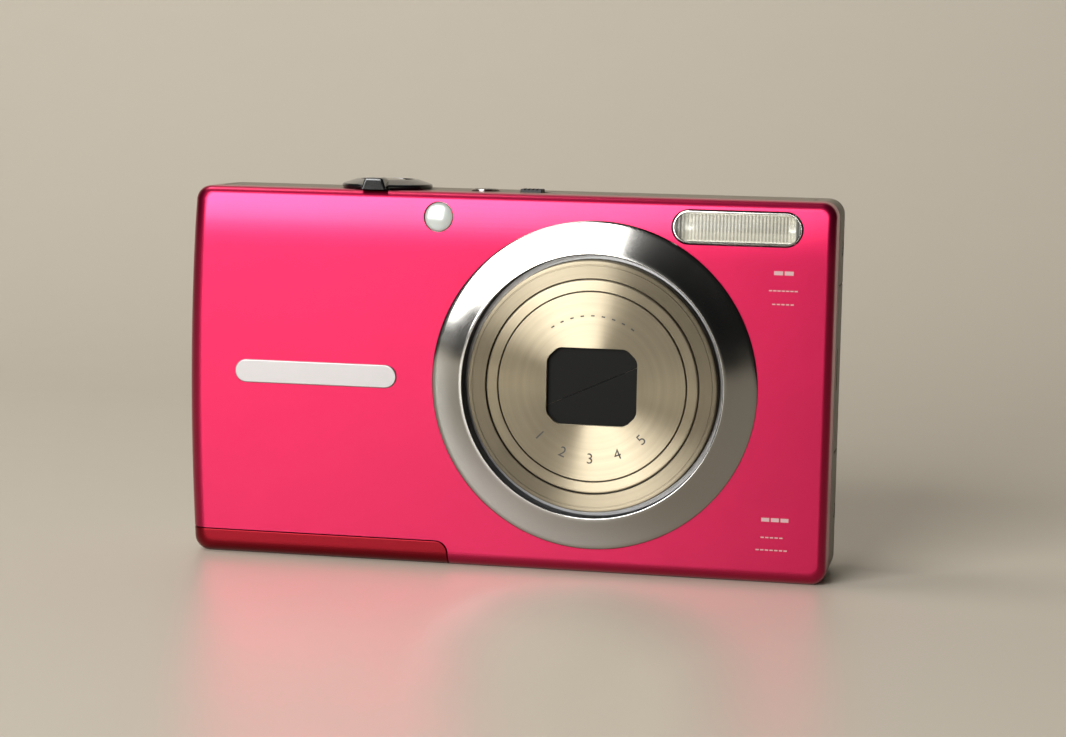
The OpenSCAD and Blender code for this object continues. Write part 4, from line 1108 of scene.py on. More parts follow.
def barrel_profile(out_r, in_r, hole_r, face_y, face_t, end_y, steps_at=()):
    """Half a section through a barrel: face with a rounded rim, wall, and the hole in its face."""
    e = 0.14 * MM
    face = [(hole_r, face_y + e * 0.8), (hole_r + e * 0.5, face_y)]
    for r in steps_at:
        face += [(r, face_y), (r + 0.05 * MM, face_y + 0.07 * MM),
                 (r + 0.16 * MM, face_y + 0.07 * MM), (r + 0.21 * MM, face_y)]
    return (
        face
        + [(out_r - 2 * e, face_y)]
        + arc(out_r - 2 * e, face_y + 2 * e, 2 * e, 270, 360, 5)
        + [(out_r, end_y - 0.1 * MM), (out_r - 0.1 * MM, end_y), (in_r, end_y),
           (in_r, face_y + face_t), (hole_r, face_y + face_t), face[0]]
    )


class CAMERA_OT_lens_barrels(bpy.types.Operator):
    """Model the three telescoping barrels of the lens"""

    bl_idname = "camera_parts.lens_barrels"
    bl_label = "Lens barrels"

    def execute(self, context):
        s, p = context.scene.camera_sizes, layout()
        wall, fit = 0.85 * MM, 0.1 * MM
        outer_end = p.face + 12.4 * MM
        middle_end, web = outer_end - fit, 0.6 * MM
        inner_end = middle_end - web - fit
        steps = s.smoothness
        outer = turned(
            "outer_barrel_skin", "Y", p.lens,
            barrel_profile(s.barrel_r, s.barrel_r - wall, s.middle_r + 1.5 * fit, p.face,
                           0.8 * MM, outer_end, [17.25 * MM]),
            steps,
        )
        # The darker champagne is painted shade on this barrel, and faces towards the axis are
        # painted black as the shade in the gap
        two_finishes(outer, "turned_champagne_painted_shade", "matt_black", in_painted_gap_shade)
        finished(outer, "outer_barrel", None, ["outer_barrel"])
        y0 = p.face + 0.05 * MM
        web_y, cell = middle_end - web, 4.9 * MM
        flange = s.barrel_r - wall - fit
        shell = barrel_profile(s.middle_r, s.middle_r - wall, s.inner_r + 1.5 * fit, y0, 0.8 * MM,
                               web_y)
        end = shell.index((s.middle_r, web_y - 0.1 * MM))
        # Behind the wall a web closes the barrel and carries the zoom group's cell
        shell[end:] = [
            (s.middle_r, web_y), (flange, web_y), (flange, middle_end), (cell, middle_end),
            (cell, web_y - 5.8 * MM), (cell + 0.7 * MM, web_y - 5.8 * MM),
            (cell + 0.7 * MM, web_y), (s.middle_r - wall, web_y),
            (s.middle_r - wall, y0 + 0.8 * MM), (s.inner_r + 1.5 * fit, y0 + 0.8 * MM), shell[0],
        ]
        middle = turned("middle_barrel_skin", "Y", p.lens, shell, steps)
        # Faces towards the axis are painted black as the shade in the gap round the inner barrel
        two_finishes(middle, "turned_champagne", "matt_black", in_painted_gap_shade)
        finished(middle, "middle_barrel", None, ["middle_barrel"])
        plate_y = p.face + 0.7 * MM
        floor_y = plate_y + 0.6 * MM
        floor, cell, bore = 0.6 * MM, 6.3 * MM, s.inner_r - wall
        flange = s.middle_r - wall - fit
        profile = [
            (bore, plate_y), (s.inner_r, plate_y), (s.inner_r, inner_end - 0.8 * MM),
            (flange, inner_end - 0.8 * MM), (flange, inner_end), (bore, inner_end),
            (bore, floor_y + floor), (cell + 0.8 * MM, floor_y + floor),
            (cell + 0.8 * MM, floor_y + floor + 3 * MM), (cell, floor_y + floor + 3 * MM),
            (cell, floor_y + floor), (5 * MM, floor_y + floor), (5 * MM, floor_y),
            (bore, floor_y), (bore, plate_y),
        ]
        inner = turned("inner_barrel_skin", "Y", p.lens, profile, steps)
        finished(inner, "inner_barrel", finish("turned_dark"), ["inner_barrel"])
        return {"FINISHED"}


def arched(name, words, size, radius, middle):
    """Lettering bent round the lens axis: middle is the angle of its middle, in degrees."""
    p = layout()
    obj = lettering(name, words, size, (0, 0, 0), (0, 0, 0), spacing=1.12)
    below = middle < 0
    with Shaping(obj) as work:
        bm = work.mesh()
        for v in bm.verts:
            x, up, lift = v.co
            a = math.radians(middle) + (x / radius if below else -x / radius)
            r = radius - up if below else radius + up
            v.co = (
                p.lens.x + r * math.cos(a), p.face - 0.006 * MM - lift, p.lens.z + r * math.sin(a)
            )
        bpy.ops.mesh.select_all(action="SELECT")
        bpy.ops.mesh.normals_make_consistent(inside=False)
    return obj


class CAMERA_OT_front_plate(bpy.types.Operator):
    """Model the turned plate round the lens window, with its lettering"""

    bl_idname = "camera_parts.front_plate"
    bl_label = "Front plate"

    def execute(self, context):
        s, p = context.scene.camera_sizes, layout()
        e, thick = 0.12 * MM, 0.7 * MM
        plate = turned(
            "front_plate_skin", "Y", p.lens,
            [(0, p.face), (s.inner_r - e, p.face)]
            + arc(s.inner_r - e, p.face + e, e, 270, 360, 4)[1:]
            + [(s.inner_r, p.face + thick), (0, p.face + thick)],
            s.smoothness,
        )
        x, z = p.lens.x - s.window_w / 2, p.lens.z - s.window_h / 2
        # The window's corners are cut on a slant and softened
        c, r = 1.6 * MM, 0.6 * MM
        outline = []
        corners = [(0, 0), (s.window_w, 0), (s.window_w, s.window_h), (0, s.window_h)]
        for i, (cx, cz) in enumerate(corners):
            sx, sz = (1 if cx == 0 else -1), (1 if cz == 0 else -1)
            one, two = (cx, cz + sz * c), (cx + sx * c, cz)
            if i in (1, 3):
                one, two = two, one
            outline += [(x + one[0], z + one[1]), (x + two[0], z + two[1])]
        window = skin(
            "window", [[Vector((a, y, b)) for a, b in outline] for y in (p.face - MM, p.face + MM)]
        )
        soften(window, r, 6, lambda e: abs(e.verts[0].co.y - e.verts[1].co.y) > MM)
        cut(plate, window)
        finished(plate, "inner_barrel", finish("turned_champagne"), ["front_plate"])
        top = arched("lens_words_top", "- - - - - - - - -", 2.15 * MM, 10.35 * MM, 90)
        low = arched("lens_words_low", "1    2    3    4    5", 2.15 * MM, 10.35 * MM, -90)
        for words in (top, low):
            finished(words, "inner_barrel", finish("ink_dark"),
                     weighted=False)
        return {"FINISHED"}


# ---- front fittings ----


class CAMERA_OT_focus_lamp(bpy.types.Operator):
    """Model the focus lamp's domed lens"""

    bl_idname = "camera_parts.focus_lamp"
    bl_label = "Focus lamp"

    def execute(self, context):
        p = layout()
        r, y = 2.05 * MM, p.front - 0.08 * MM
        dome = [(r * math.sin(a), y + 0.42 * MM * (1 - math.cos(a)) * 0.9)
                for a in [math.pi / 2 * i / 8 for i in range(9)]]
        profile = dome + [
            (r, p.in_front), (r + 0.3 * MM, p.in_front), (r + 0.3 * MM, p.in_front + 0.6 * MM),
            (0, p.in_front + 0.6 * MM),
        ]
        lamp = turned("focus_lamp_lens", "Y", p.lamp, profile, 64)
        follow_crown(lamp)
        finished(lamp, "root", finish("milky_lamp"), ["af_lamp_window"])
        return {"FINISHED"}


class CAMERA_OT_flash(bpy.types.Operator):
    """Model the flash: ribbed window, thin frame and silver reflector"""

    bl_idname = "camera_parts.flash"
    bl_label = "Flash"

    def execute(self, context):
        p = layout()
        front, rear = p.front + 0.1 * MM, p.in_front + 0.2 * MM
        window = slab("flash_window_skin", flash_outline(-0.3 * MM), front, rear,
                      round_front=0.12 * MM)
        # Upright prisms on the inner face spread the light
        count, half_high = 44, 1.75 * MM
        width, start = (p.flash_w - 4 * MM) / count, p.flash.x - p.flash_w / 2 + 2 * MM
        first = box("rib", (start, rear - 0.05 * MM, p.flash.z - half_high),
                    (start + width, rear + 0.2 * MM, p.flash.z + half_high))
        with Shaping(first) as work:
            work.pick("FACE", lambda f: f.normal.y > 0.9)
            bpy.ops.transform.resize(value=(0.05, 1, 1))
        ribs = [copied(first, (width * i, 0, 0)) for i in range(1, count)]
        window = join("flash_window_skin", window, first, *ribs)
        follow_crown(window)
        finished(window, "root", finish("ribbed_window"), ["flash_window"],
                 weighted=False)
        # A bright rim between the window and the cover
        section_points = ((-0.28, 0.16), (-0.28, 0.02), (-0.22, -0.06), (-0.12, -0.06),
                          (-0.03, 0.02), (-0.03, 0.9), (-0.28, 0.9), (-0.28, 0.16))
        rim = skin("flash_rim", [
            [Vector((x, p.front + y * MM, z)) for x, z in flash_outline(grow * MM)]
            for grow, y in section_points
        ])
        with Shaping(rim) as work:
            work.pick("FACE", lambda f: len(f.verts) > 8)
            bpy.ops.mesh.delete(type="FACE")
            work.tidy()
        follow_crown(rim)
        finished(rim, "root", finish("bright_chrome"))
        # The reflector is a trough, bright inside, with dark ends
        y0, y1 = p.in_front + 0.25 * MM, p.in_front + 4.2 * MM
        deep, high, half = 2.4 * MM, 1.9 * MM, 8.1 * MM
        inside = [
            (y0 + deep * math.cos(a), p.flash.z + high * math.sin(a))
            for a in [-math.pi / 2 + math.pi * i / 16 for i in range(17)]
        ]
        outside = [(y0, p.flash.z + 2 * MM), (y1, p.flash.z + 2 * MM),
                   (y1, p.flash.z - 2 * MM), (y0, p.flash.z - 2 * MM)]
        trough = skin(
            "flash_reflector_skin",
            [[Vector((x, a, b)) for a, b in inside + outside]
             for x in (p.flash.x - half, p.flash.x + half)],
        )
        finished(trough, "root", finish("mirror_silver"), ["flash_reflector"])
        ends = []
        for side in (-1, 1):
            a, b = sorted(p.flash.x + side * reach for reach in (half, half + MM))
            block = box("end", (a, y0, p.flash.z - 2 * MM), (b, y1, p.flash.z + 2 * MM))
            soften(block, 0.1 * MM, 2)
            ends.append(block)
        ends = join("flash_ends", *ends)
        finished(ends, "root", finish("matt_black"))
        return {"FINISHED"}


class CAMERA_OT_nameplate(bpy.types.Operator):
    """Model the raised blank bar on the grip side"""

    bl_idname = "camera_parts.nameplate"
    bl_label = "Nameplate"

    def execute(self, context):
        s, p = context.scene.camera_sizes, layout()
        outline = soft_outline(p.left + 7.55 * MM, s.lens_z - 1.6 * MM, 24.4 * MM, 3.4 * MM,
                               1.69 * MM, 12)
        bar = slab("nameplate_bar", outline, p.front - 0.25 * MM, p.front + 0.02 * MM,
                   round_front=0.16 * MM, steps=5)
        finished(bar, "root", finish("satin_silver"), ["nameplate"])
        return {"FINISHED"}


class CAMERA_OT_front_prints(bpy.types.Operator):
    """Print two small blocks of plain dashes on the front"""

    bl_idname = "camera_parts.front_prints"
    bl_label = "Front prints"

    def execute(self, context):
        p = layout()
        y = p.front - 0.006 * MM
        x = p.right - 7.1 * MM
        for name, words, size, dx, z, bold, spacing in (
            ("print_zoom_a", "--", 4.6, 0.0, 44.6, 0.07, 1.0),
            ("print_zoom_b", "-------", 1.85, 0.0, 41.9, 0.0, 1.0),
            ("print_zoom_c", "-----", 1.85, 0.0, 40.0, 0.0, 1.05),
            ("print_size_a", "---", 3.9, -0.2, 9.6, 0.09, 1.05),
            ("print_size_b", "-----", 1.9, -0.6, 6.9, 0.0, 1.05),
            ("print_size_c", "-------", 1.9, -0.6, 5.1, 0.0, 1.05),
        ):
            words = lettering(name, words, size * MM, (x + dx * MM, y, z * MM),
                              (math.pi / 2, 0, 0), bold=bold * MM, spacing=spacing)
            finished(words, "root", finish("print_silver"), weighted=False)
        return {"FINISHED"}


# ---- top controls ----


class CAMERA_OT_zoom_lever(bpy.types.Operator):
    """Model the zoom lever round the shutter button"""

    bl_idname = "camera_parts.zoom_lever"
    bl_label = "Zoom lever"

    def execute(self, context):
        s, p = context.scene.camera_sizes, layout()
        z0, z1 = p.top + 0.12 * MM, p.top + 1.4 * MM
        bore, r, e = s.shutter_r + 0.2 * MM, s.lever_r, 0.35 * MM
        profile = (
            [(bore, p.top - 1.85 * MM), (bore, z1 - 0.15 * MM), (bore + 0.15 * MM, z1)]
            + [(bore + 0.7 * MM, z1 - 0.02 * MM)]
            + arc(r - e, z0 + 0.9 * e, e, 75, 0, 6)
            + [(r - 0.1 * MM, z0), (p.hub_r, z0), (p.hub_r, p.top - 1.85 * MM),
               (bore, p.top - 1.85 * MM)]
        )
        lever = turned("zoom_lever_skin", "Z", p.shutter, profile, 128)
        tab = box(
            "tab",
            (p.shutter.x - 1.9 * MM, -r - 1.5 * MM, z0),
            (p.shutter.x + 1.9 * MM, -r + 1.6 * MM, z1 + 0.4 * MM),
        )
        with Shaping(tab) as work:
            work.pick("FACE", lambda f: f.normal.z > 0.9)
            bpy.ops.transform.resize(value=(0.68, 1, 1))
        soften(tab, 0.35 * MM, 5, lambda e: max(v.co.z for v in e.verts) > z1)
        combine(lever, tab, "UNION")
        finished(lever, "zoom_lever", finish("gloss_black"), ["zoom_lever"])
        return {"FINISHED"}


class CAMERA_OT_top_buttons(bpy.types.Operator):
    """Model the shutter button, the power button and the mode switch"""

    bl_idname = "camera_parts.top_buttons"
    bl_label = "Top buttons"

    def execute(self, context):
        s, p = context.scene.camera_sizes, layout()
        top, r = p.top + 1.55 * MM, s.shutter_r
        # The skirt has a pocket for the spring, round the stem
        skirt, stem_end, stem_r, pocket_r = p.top - 0.8 * MM, p.top - 4 * MM, 1.5 * MM, 2.75 * MM
        ball = 14 * MM
        dome = []
        for i in range(13):
            q = (r - 0.25 * MM) * i / 12
            dome.append((q, top - ball + math.sqrt(ball * ball - q * q)))
        rim = dome[-1][1]
        profile = (
            dome
            + arc(r - 0.25 * MM, rim - 0.25 * MM, 0.25 * MM, 75, 0, 4)
            + [(r, skirt), (pocket_r, skirt), (pocket_r, skirt + 0.9 * MM),
               (stem_r, skirt + 0.9 * MM), (stem_r, stem_end), (0, stem_end)]
        )
        button = turned("shutter_button_skin", "Z", p.shutter, profile, 96)
        finished(button, "shutter_button", finish("bright_chrome"), ["shutter_button"])
        z0 = p.top - 1.8 * MM
        face = p.top + 0.35 * MM
        profile = [
            (0, face - 0.12 * MM), (1.2 * MM, face - 0.1 * MM), (1.6 * MM, face),
            (1.85 * MM, face - 0.02 * MM), (2 * MM, face - 0.16 * MM), (2 * MM, z0),
            (2.5 * MM, z0), (2.5 * MM, z0 - 0.5 * MM), (0, z0 - 0.5 * MM),
        ]
        power = turned("power_button_skin", "Z", p.power, profile, 64)
        finished(power, "power_button", finish("bright_chrome"), ["power_button"])
        z0 = p.top - 1.35 * MM
        knob = box("mode_switch_skin", (p.mode.x - 1.6 * MM, -1.2 * MM, z0),
                   (p.mode.x + 1.6 * MM, 1.2 * MM, p.top + 0.5 * MM))
        soften(knob, 0.16 * MM, 4, lambda e: max(v.co.z for v in e.verts) > p.top)
        for x in (-0.9, -0.3, 0.3, 0.9):
            groove = box("groove", (p.mode.x + (x - 0.13) * MM, -2 * MM, p.top + 0.32 * MM),
                         (p.mode.x + (x + 0.13) * MM, 2 * MM, p.top + MM))
            cut(knob, groove)
        foot = box("foot", (p.mode.x - 2.2 * MM, -1.8 * MM, z0 - 0.6 * MM),
                   (p.mode.x + 2.2 * MM, 1.8 * MM, z0))
        knob = join("mode_switch_skin", knob, foot)
        finished(knob, "mode_switch", finish("matt_black"), ["mode_switch"])
        return {"FINISHED"}


# ---- back ----


class CAMERA_OT_display(bpy.types.Operator):
    """Model the display's window with its dark border"""

    bl_idname = "camera_parts.display"
    bl_label = "Display"

    def execute(self, context):
        s, p = context.scene.camera_sizes, layout()
        x, z = p.display
        outline = soft_outline(x, z, s.display_w, s.display_h, 1.1 * MM, 8)
        pane = slab("display_pane", outline, p.back - 0.75 * MM, p.back - 0.05 * MM,
                    round_back=0.12 * MM)
        with Shaping(pane) as work:
            work.pick("FACE", lambda f: f.normal.y > 0.99 and len(f.verts) > 8)
            bpy.ops.mesh.inset(thickness=0.05 * MM)
            border = 3.4 * MM
            bpy.ops.transform.resize(
                value=(1 - border / s.display_w, 1, 1 - border / s.display_h)
            )
        two_finishes(pane, "display_black", "display_panel",
                     lambda f: f.normal.y > 0.99 and f.area > 0.001)
        finished(pane, "root", None, ["lcd_window"])
        return {"FINISHED"}


def key_profile(r, y0, y1, flange=0.5 * MM, flange_t=0.45 * MM):
    """Half a section through a round key: a softly domed face, a wall and a flange inside."""
    e = 0.2 * MM
    return (
        [(0, y0), (r + flange, y0), (r + flange, y0 + flange_t), (r, y0 + flange_t), (r, y1 - e)]
        + arc(r - e, y1 - e, e, 0, 80, 4)
        + [((r - e) * k, y1 - 0.06 * MM * (1 - k)) for k in (0.85, 0.6, 0.3, 0.0)]
    )


class CAMERA_OT_back_keys(bpy.types.Operator):
    """Model the four round keys with their plain marks"""

    bl_idname = "camera_parts.back_keys"
    bl_label = "Back keys"

    def execute(self, context):
        p = layout()
        facing_back = (math.pi / 2, 0, math.pi)
        for node, (x, z, r) in p.keys.items():
            profile = key_profile(r, p.key_front, p.key_top)
            key = turned(node + "_skin", "Y", (x, 0, z), profile, 64)
            finished(key, node, finish("key_grey"), [node])
            y = p.key_top - 0.01 * MM
            if node == "movie_button":
                mark = turned("mark", "Y", (x, 0, z),
                              [(0, y - 0.15 * MM), (0.9 * MM, y - 0.15 * MM), (0.9 * MM, y),
                               (0.8 * MM, y + 0.01 * MM), (0, y + 0.01 * MM)], 32)
                tone = "movie_red"
            elif node == "play_button":
                # A circle of three points is the play mark
                deselect()
                bpy.ops.mesh.primitive_cylinder_add(
                    vertices=3, radius=1.1 * MM, depth=0.14 * MM,
                    location=(x, y - 0.06 * MM, z), rotation=(math.pi / 2, math.pi / 2, math.pi),
                )
                mark = settle("mark")
                soften(mark, 0.02 * MM, 1)
                tone = "print_silver"
            else:
                words, size = ("MENU", 1.25) if node == "menu_button" else ("?", 2.4)
                mark = lettering("mark", words, size * MM, (x, y, z), facing_back,
                                 bold=0.02 * MM, thick=0.06)
                tone = "print_silver"
            mark.name = mark.data.name = node + "_mark"
            finished(mark, node, finish(tone), weighted=False)
        return {"FINISHED"}


class CAMERA_OT_direction_keys(bpy.types.Operator):
    """Model the direction ring and the set button"""

    bl_idname = "camera_parts.direction_keys"
    bl_label = "Direction ring"

    def execute(self, context):
        s, p = context.scene.camera_sizes, layout()
        carrier_r = s.nav_r - 3.3 * MM
        y0, y1 = p.key_front + 0.4 * MM, p.key_top
        bore, step_r, step_y = 4.5 * MM, carrier_r + 0.4 * MM, p.key_front + 0.65 * MM
        e = 0.25 * MM
        profile = (
            [(step_r, y0), (s.nav_r, y0), (s.nav_r, y1 - e)]
            + arc(s.nav_r - e, y1 - e, e, 0, 90, 5)
            + [(s.nav_r - 1.2 * MM, y1 - 0.04 * MM), (s.nav_r - 2.6 * MM, y1 - 0.14 * MM),
               (bore + 0.9 * MM, y1 - 0.16 * MM), (bore + 0.2 * MM, y1 - 0.05 * MM),
               (bore, y1 - 0.2 * MM), (bore, step_y), (step_r, step_y), (step_r, y0)]
        )
        ring = turned("direction_ring_skin", "Y", p.nav, profile, 128)
        finished(ring, "nav_ring", finish("key_grey"), ["nav_ring"])
        # Four small bars mark the directions
        marks = []
        for i in range(4):
            bar = box("bar", (p.nav.x - 0.8 * MM, y1 - 0.1 * MM, p.nav.z + 7.1 * MM),
                      (p.nav.x + 0.8 * MM, y1 - 0.02 * MM, p.nav.z + 7.4 * MM))
            soften(bar, 0.03 * MM, 2)
            with Shaping(bar):
                bpy.ops.transform.rotate(
                    value=TURN * i / 4, orient_axis="Y", center_override=tuple(p.nav)
                )
            marks.append(bar)
        marks = join("direction_marks", *marks)
        finished(marks, "nav_ring", finish("print_silver"), weighted=False)
        r = 4 * MM
        button = turned("set_button_skin", "Y", p.nav,
                        key_profile(r, p.key_front, y1, 0.25 * MM, 0.2 * MM), 96)
        finished(button, "set_button", finish("key_grey"), ["set_button"])
        return {"FINISHED"}


class CAMERA_OT_thumb_grip(bpy.types.Operator):
    """Model the raised dots under the thumb"""

    bl_idname = "camera_parts.thumb_grip"
    bl_label = "Thumb grip"

    def execute(self, context):
        p = layout()
        r, high = 0.45 * MM, 0.2 * MM
        start = Vector((p.left + 12 * MM, 0, p.top - 10 * MM))
        profile = [(0, p.back - 0.1 * MM), (r, p.back - 0.1 * MM), (r, p.back + 0.03 * MM)] + [
            (r * math.cos(a), p.back + 0.03 * MM + (high - 0.03 * MM) * math.sin(a))
            for a in [math.pi / 2 * i / 5 for i in range(1, 6)]
        ]
        first = turned("thumb_dots", "Y", start, profile, 20)
        apart, columns, rows = 2 * MM, 4, 3
        dots = [
            copied(first, (apart * i, 0, apart * j))
            for i in range(columns) for j in range(rows) if i or j
        ]
        grip = join("thumb_dots", first, *dots)
        finished(grip, "root", finish("moulded_grey"), ["thumb_grip"])
        return {"FINISHED"}


# ---- sides and base ----


class CAMERA_OT_side_fittings(bpy.types.Operator):
    """Model the socket cover, the strap bar and the tripod bush"""

    bl_idname = "camera_parts.side_fittings"
    bl_label = "Side and base fittings"

    def execute(self, context):
        s, p = context.scene.camera_sizes, layout()
        z0, z1 = p.cover_z
        r = s.back_wall / 2
        cover = box("socket_cover_skin", (p.right - s.back_wall, p.cover_front, z0),
                    (p.right, p.cover_hinge, z1))
        soften(
            cover, 0.15 * MM, 3,
            lambda e: all(v.co.x > p.right - TINY for v in e.verts)
            and min(v.co.y for v in e.verts) < p.cover_hinge - TINY,
        )
        # A hollow for the fingernail at the free edge
        mid = (z0 + z1) / 2
        cut(
            cover,
            rod("nail", "Z", (p.right + 0.75 * MM, p.cover_front + 0.2 * MM, 0), 1.15 * MM,
                mid - 3 * MM, mid + 3 * MM, 40),
        )
        knuckle = turned(
            "knuckle", "Z", (p.right - r, p.cover_hinge, 0),
            [(0, z0), (r - 0.1 * MM, z0), (r, z0 + 0.1 * MM), (r, z1 - 0.1 * MM),
             (r - 0.1 * MM, z1), (0, z1)], 40,
        )
        pin = turned(
            "pin", "Z", (p.right - r, p.cover_hinge, 0),
            [(0, z0 - 0.8 * MM), (0.3 * MM, z0 - 0.8 * MM), (0.3 * MM, z1 + 0.8 * MM),
             (0, z1 + 0.8 * MM)], 24,
        )
        cover = join("socket_cover_skin", cover, knuckle, pin)
        finished(cover, "terminal_cover", finish("moulded_grey"), ["terminal_cover"])
        x = p.left + s.side_bow * 0.4 + 0.9 * MM
        a, b = p.strap_z[0] - 1.2 * MM, p.strap_z[1] + 1.2 * MM
        mid, r, e = (a + b) / 2, 0.7 * MM, 0.1 * MM
        bar = turned(
            "strap_bar_skin", "Z", (x, p.strap_y, 0),
            [(0, a), (r - e, a), (r, a + e), (r, mid - 2 * MM), (r - 0.06 * MM, mid),
             (r, mid + 2 * MM), (r, b - e), (r - e, b), (0, b)], 40,
        )
        finished(bar, "root", finish("satin_steel"), ["strap_bar"])
        # The bush has a quarter-inch thread, twenty turns to the inch
        bore, deep, pitch, cutting = 2.55 * MM, 4.4 * MM, 1.27 * MM, 0.5 * MM
        thread = [(bore + cutting, 0.0), (bore, 0.5 * MM)]
        z = 0.5 * MM
        while z + pitch < deep:
            thread += [(bore + cutting, z + pitch / 2), (bore, z + pitch)]
            z += pitch
        profile = (
            [(0, deep), (bore, deep)] + thread[::-1]
            + [(4.1 * MM, 0), (4.2 * MM, 0.1 * MM), (4.2 * MM, 1.3 * MM), (4.9 * MM, 1.3 * MM),
               (4.9 * MM, 2.1 * MM), (4.2 * MM, 2.1 * MM), (4.2 * MM, 5.2 * MM), (0, 5.2 * MM)]
        )
        bush = turned("tripod_bush_skin", "Z", p.tripod, profile, 96)
        finished(bush, "root", finish("satin_steel"), ["tripod_bush"])
        return {"FINISHED"}


class CAMERA_OT_inner_finishes(bpy.types.Operator):
    """Give the blades, the optics and the inner pieces their finishes"""

    bl_idname = "camera_parts.inner_finishes"
    bl_label = "Inner finishes"

    def execute(self, context):
        groups = {
            "blade_black": ["barrier_blade_upper", "barrier_blade_lower"],
            "coated_lens": ["front_lens_group", "zoom_lens_group", "focus_lens"],
            "clear_window": ["flash_tube"],
            "sleeve_black": ["flash_capacitor"],
            "board_green": ["flash_board", "main_board"],
            "matt_black": ["battery_box", "door_slider", "lens_base", "nav_carrier", "speaker"],
            "cell_wrap": ["battery"],
            "gear_brass": ["battery_contacts", "drive_pinion"],
            "card_blue": ["memory_card"],
            "satin_steel": [
                "card_slot", "chassis_plate", "case_screws", "door_hinge_pin", "av_socket",
                "cam_ring", "sensor_plate", "zoom_motor", "shutter_spring", "microphone",
            ],
            "latch_orange": ["battery_latch"],
            "sensor_glass": ["image_sensor"],
            "display_panel": ["lcd_panel"],
            "key_rubber": ["key_mat"],
        }
        for name, nodes in groups.items():
            for node in nodes:
                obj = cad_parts[node]
                obj.data.materials.clear()
                obj.data.materials.append(finish(name))
        return {"FINISHED"}


# ---- studio ----


def aim(obj, place, target, roll=0.0):
    """Puts a lamp or the camera at a place and points it at a target."""
    back = (Vector(place) - Vector(target)).normalized()
    right = Vector((0, 0, 1)).cross(back).normalized()
    up = back.cross(right)
    r = right * math.cos(roll) + up * math.sin(roll)
    u = up * math.cos(roll) - right * math.sin(roll)
    obj.matrix_world = Matrix(
        (
            (r.x, u.x, back.x, place[0]),
            (r.y, u.y, back.y, place[1]),
            (r.z, u.z, back.z, place[2]),
            (0, 0, 0, 1),
        )
    )


def softbox(name, place, target, width, height, power, colour=(1, 1, 1)):
    """A large soft lamp, its power in watts."""
    deselect()
    bpy.ops.object.light_add(type="AREA")
    lamp = bpy.context.active_object
    lamp.name = name
    lamp.data.shape = "RECTANGLE"
    lamp.data.size, lamp.data.size_y = width, height
    lamp.data.energy = power
    lamp.data.color = colour
    aim(lamp, place, target)


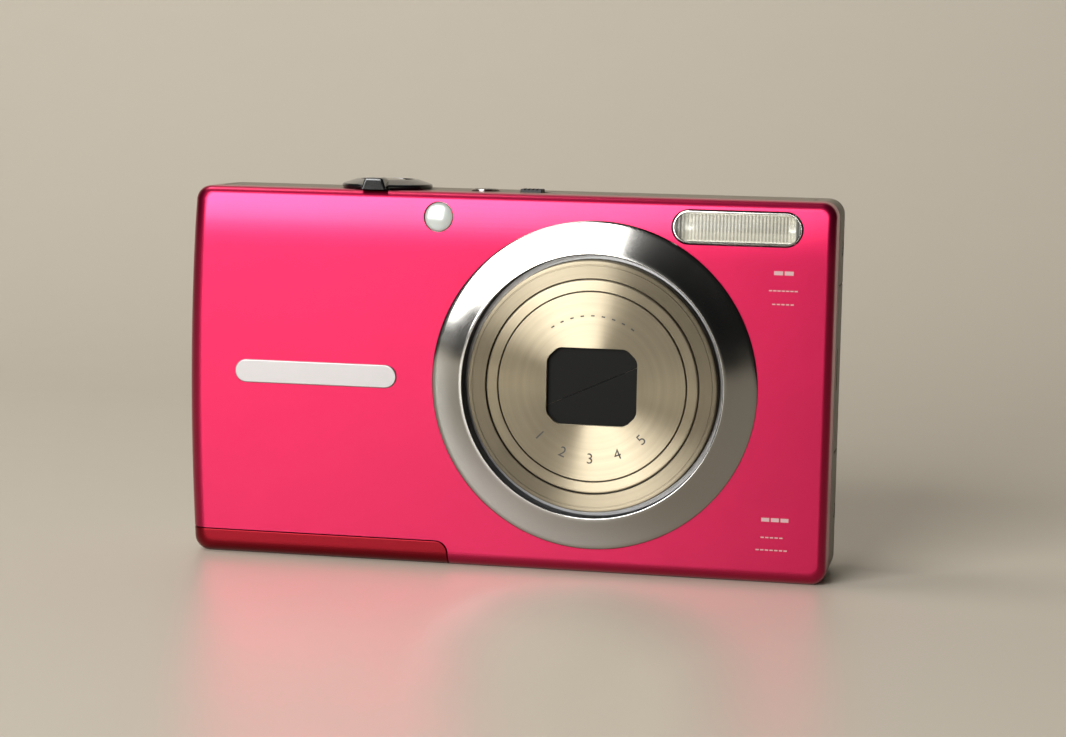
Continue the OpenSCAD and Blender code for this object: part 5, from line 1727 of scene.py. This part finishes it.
class CAMERA_OT_studio(bpy.types.Operator):
    """Set up the floor, the backdrop, the lights and the camera"""

    bl_idname = "camera_parts.studio"
    bl_label = "Studio"

    def execute(self, context):
        # A sheet that runs from the floor up into the backdrop on one curve
        deselect()
        bpy.ops.mesh.primitive_plane_add(size=1)
        sweep = settle("studio_sweep")
        near, far, bend, high, wide, strips = -1.6, 0.62, 0.45, 1.6, 2.0, 16
        with Shaping(sweep) as work:
            bm = work.mesh()
            for v in bm.verts:
                v.co = (v.co.x * 2 * wide, far - bend if v.co.y > 0 else near, 0)
            work.pick("EDGE", lambda e: all(v.co.y > 0 for v in e.verts))
            angles = [math.pi / 2 * i / strips for i in range(strips + 1)]
            moves = [
                (0, bend * (math.sin(b) - math.sin(a)), bend * (math.cos(a) - math.cos(b)))
                for a, b in zip(angles, angles[1:])
            ]
            for move in [*moves, (0, 0, high)]:
                bpy.ops.mesh.extrude_edges_move(TRANSFORM_OT_translate={"value": move})
            bpy.ops.mesh.select_all(action="SELECT")
            bpy.ops.mesh.normals_make_consistent(inside=False)
        choose(sweep)
        bpy.ops.object.shade_smooth()
        c = context.scene.camera_colours
        sweep.data.materials.append(
            material("studio_sheet", c.floor, 0.42, grain=900.0, skin_depth=0.0, drift=0.012,
                     smudge=0.0, Specular_IOR_Level=0.5)
        )
        middle, warm = (0.0, 0.0, 0.03), (1.0, 0.98, 0.95)
        for light in (
            ("key_light", (-0.339, -0.80, 0.37), middle, 0.58, 0.55, 14.5),
            ("backdrop_light", (-0.5, 0.0, 1.0), (-0.25, 0.6, 0.4), 0.6, 0.4, 5.5, warm),
            ("floor_light", (-0.1, -0.25, 1.3), (0.0, 0.0, 0.0), 0.5, 0.35, 0.2, warm),
            ("rear_light", (-0.1, 0.42, 0.75), middle, 0.5, 0.3, 0.45, warm),
        ):
            softbox(*light)
        world = bpy.data.worlds.new("studio_air")
        world.use_nodes = True
        world.node_tree.nodes["Background"].inputs["Color"].default_value = (0.92, 0.96, 1, 1)
        world.node_tree.nodes["Background"].inputs["Strength"].default_value = 0.015
        context.scene.world = world
        context.scene.view_settings.view_transform = "Standard"
        # The camera looks from a little to the right and above, and leans by a degree
        turn, pitch = math.radians(11.51), math.radians(6.54)
        target = Vector((3.06 * MM, 0, 28.40 * MM))
        level = math.cos(pitch)
        back = Vector((math.sin(turn) * level, -math.cos(turn) * level, math.sin(pitch)))
        deselect()
        bpy.ops.object.camera_add()
        camera = bpy.context.active_object
        camera.name = "studio_camera"
        camera.data.sensor_width = 36
        camera.data.lens = 82.84
        camera.data.clip_start = 0.01
        away, roll = 359.8 * MM, math.radians(1.11)
        aim(camera, target + back * away, target, roll)
        context.scene.camera = camera
        return {"FINISHED"}


# ---- add-on ----


class CAMERA_PT_parts(bpy.types.Panel):
    """Lists every piece that the add-on models"""

    bl_idname = "CAMERA_PT_parts"
    bl_label = "Compact camera"
    bl_space_type = "VIEW_3D"
    bl_region_type = "UI"
    bl_category = "Camera"

    def draw(self, context):
        for operator in OPERATORS:
            self.layout.operator(operator.bl_idname)
        for group in (context.scene.camera_sizes, context.scene.camera_colours):
            column = self.layout.column()
            for name in group.__annotations__:
                column.prop(group, name)


OPERATORS = [
    CAMERA_OT_front_cover,
    CAMERA_OT_battery_door,
    CAMERA_OT_rear_cover,
    CAMERA_OT_top_plate,
    CAMERA_OT_lens_ring,
    CAMERA_OT_lens_barrels,
    CAMERA_OT_front_plate,
    CAMERA_OT_focus_lamp,
    CAMERA_OT_flash,
    CAMERA_OT_nameplate,
    CAMERA_OT_front_prints,
    CAMERA_OT_zoom_lever,
    CAMERA_OT_top_buttons,
    CAMERA_OT_display,
    CAMERA_OT_back_keys,
    CAMERA_OT_direction_keys,
    CAMERA_OT_thumb_grip,
    CAMERA_OT_side_fittings,
    CAMERA_OT_inner_finishes,
    CAMERA_OT_studio,
]


def register():
    """Adds the sizes, the colours, the operators and the panel."""
    for group in (CameraSizes, CameraColours):
        bpy.utils.register_class(group)
    bpy.types.Scene.camera_sizes = PointerProperty(type=CameraSizes)
    bpy.types.Scene.camera_colours = PointerProperty(type=CameraColours)
    for operator in [*OPERATORS, CAMERA_PT_parts]:
        bpy.utils.register_class(operator)


def unregister():
    """Takes away what register added."""
    for operator in [CAMERA_PT_parts, *reversed(OPERATORS)]:
        bpy.utils.unregister_class(operator)
    del bpy.types.Scene.camera_colours
    del bpy.types.Scene.camera_sizes
    for group in (CameraColours, CameraSizes):
        bpy.utils.unregister_class(group)


def main():
    """Models every piece."""
    register()
    for operator in OPERATORS:
        group, name = operator.bl_idname.split(".")
        getattr(getattr(bpy.ops, group), name)()


if __name__ == "__main__":
    main()
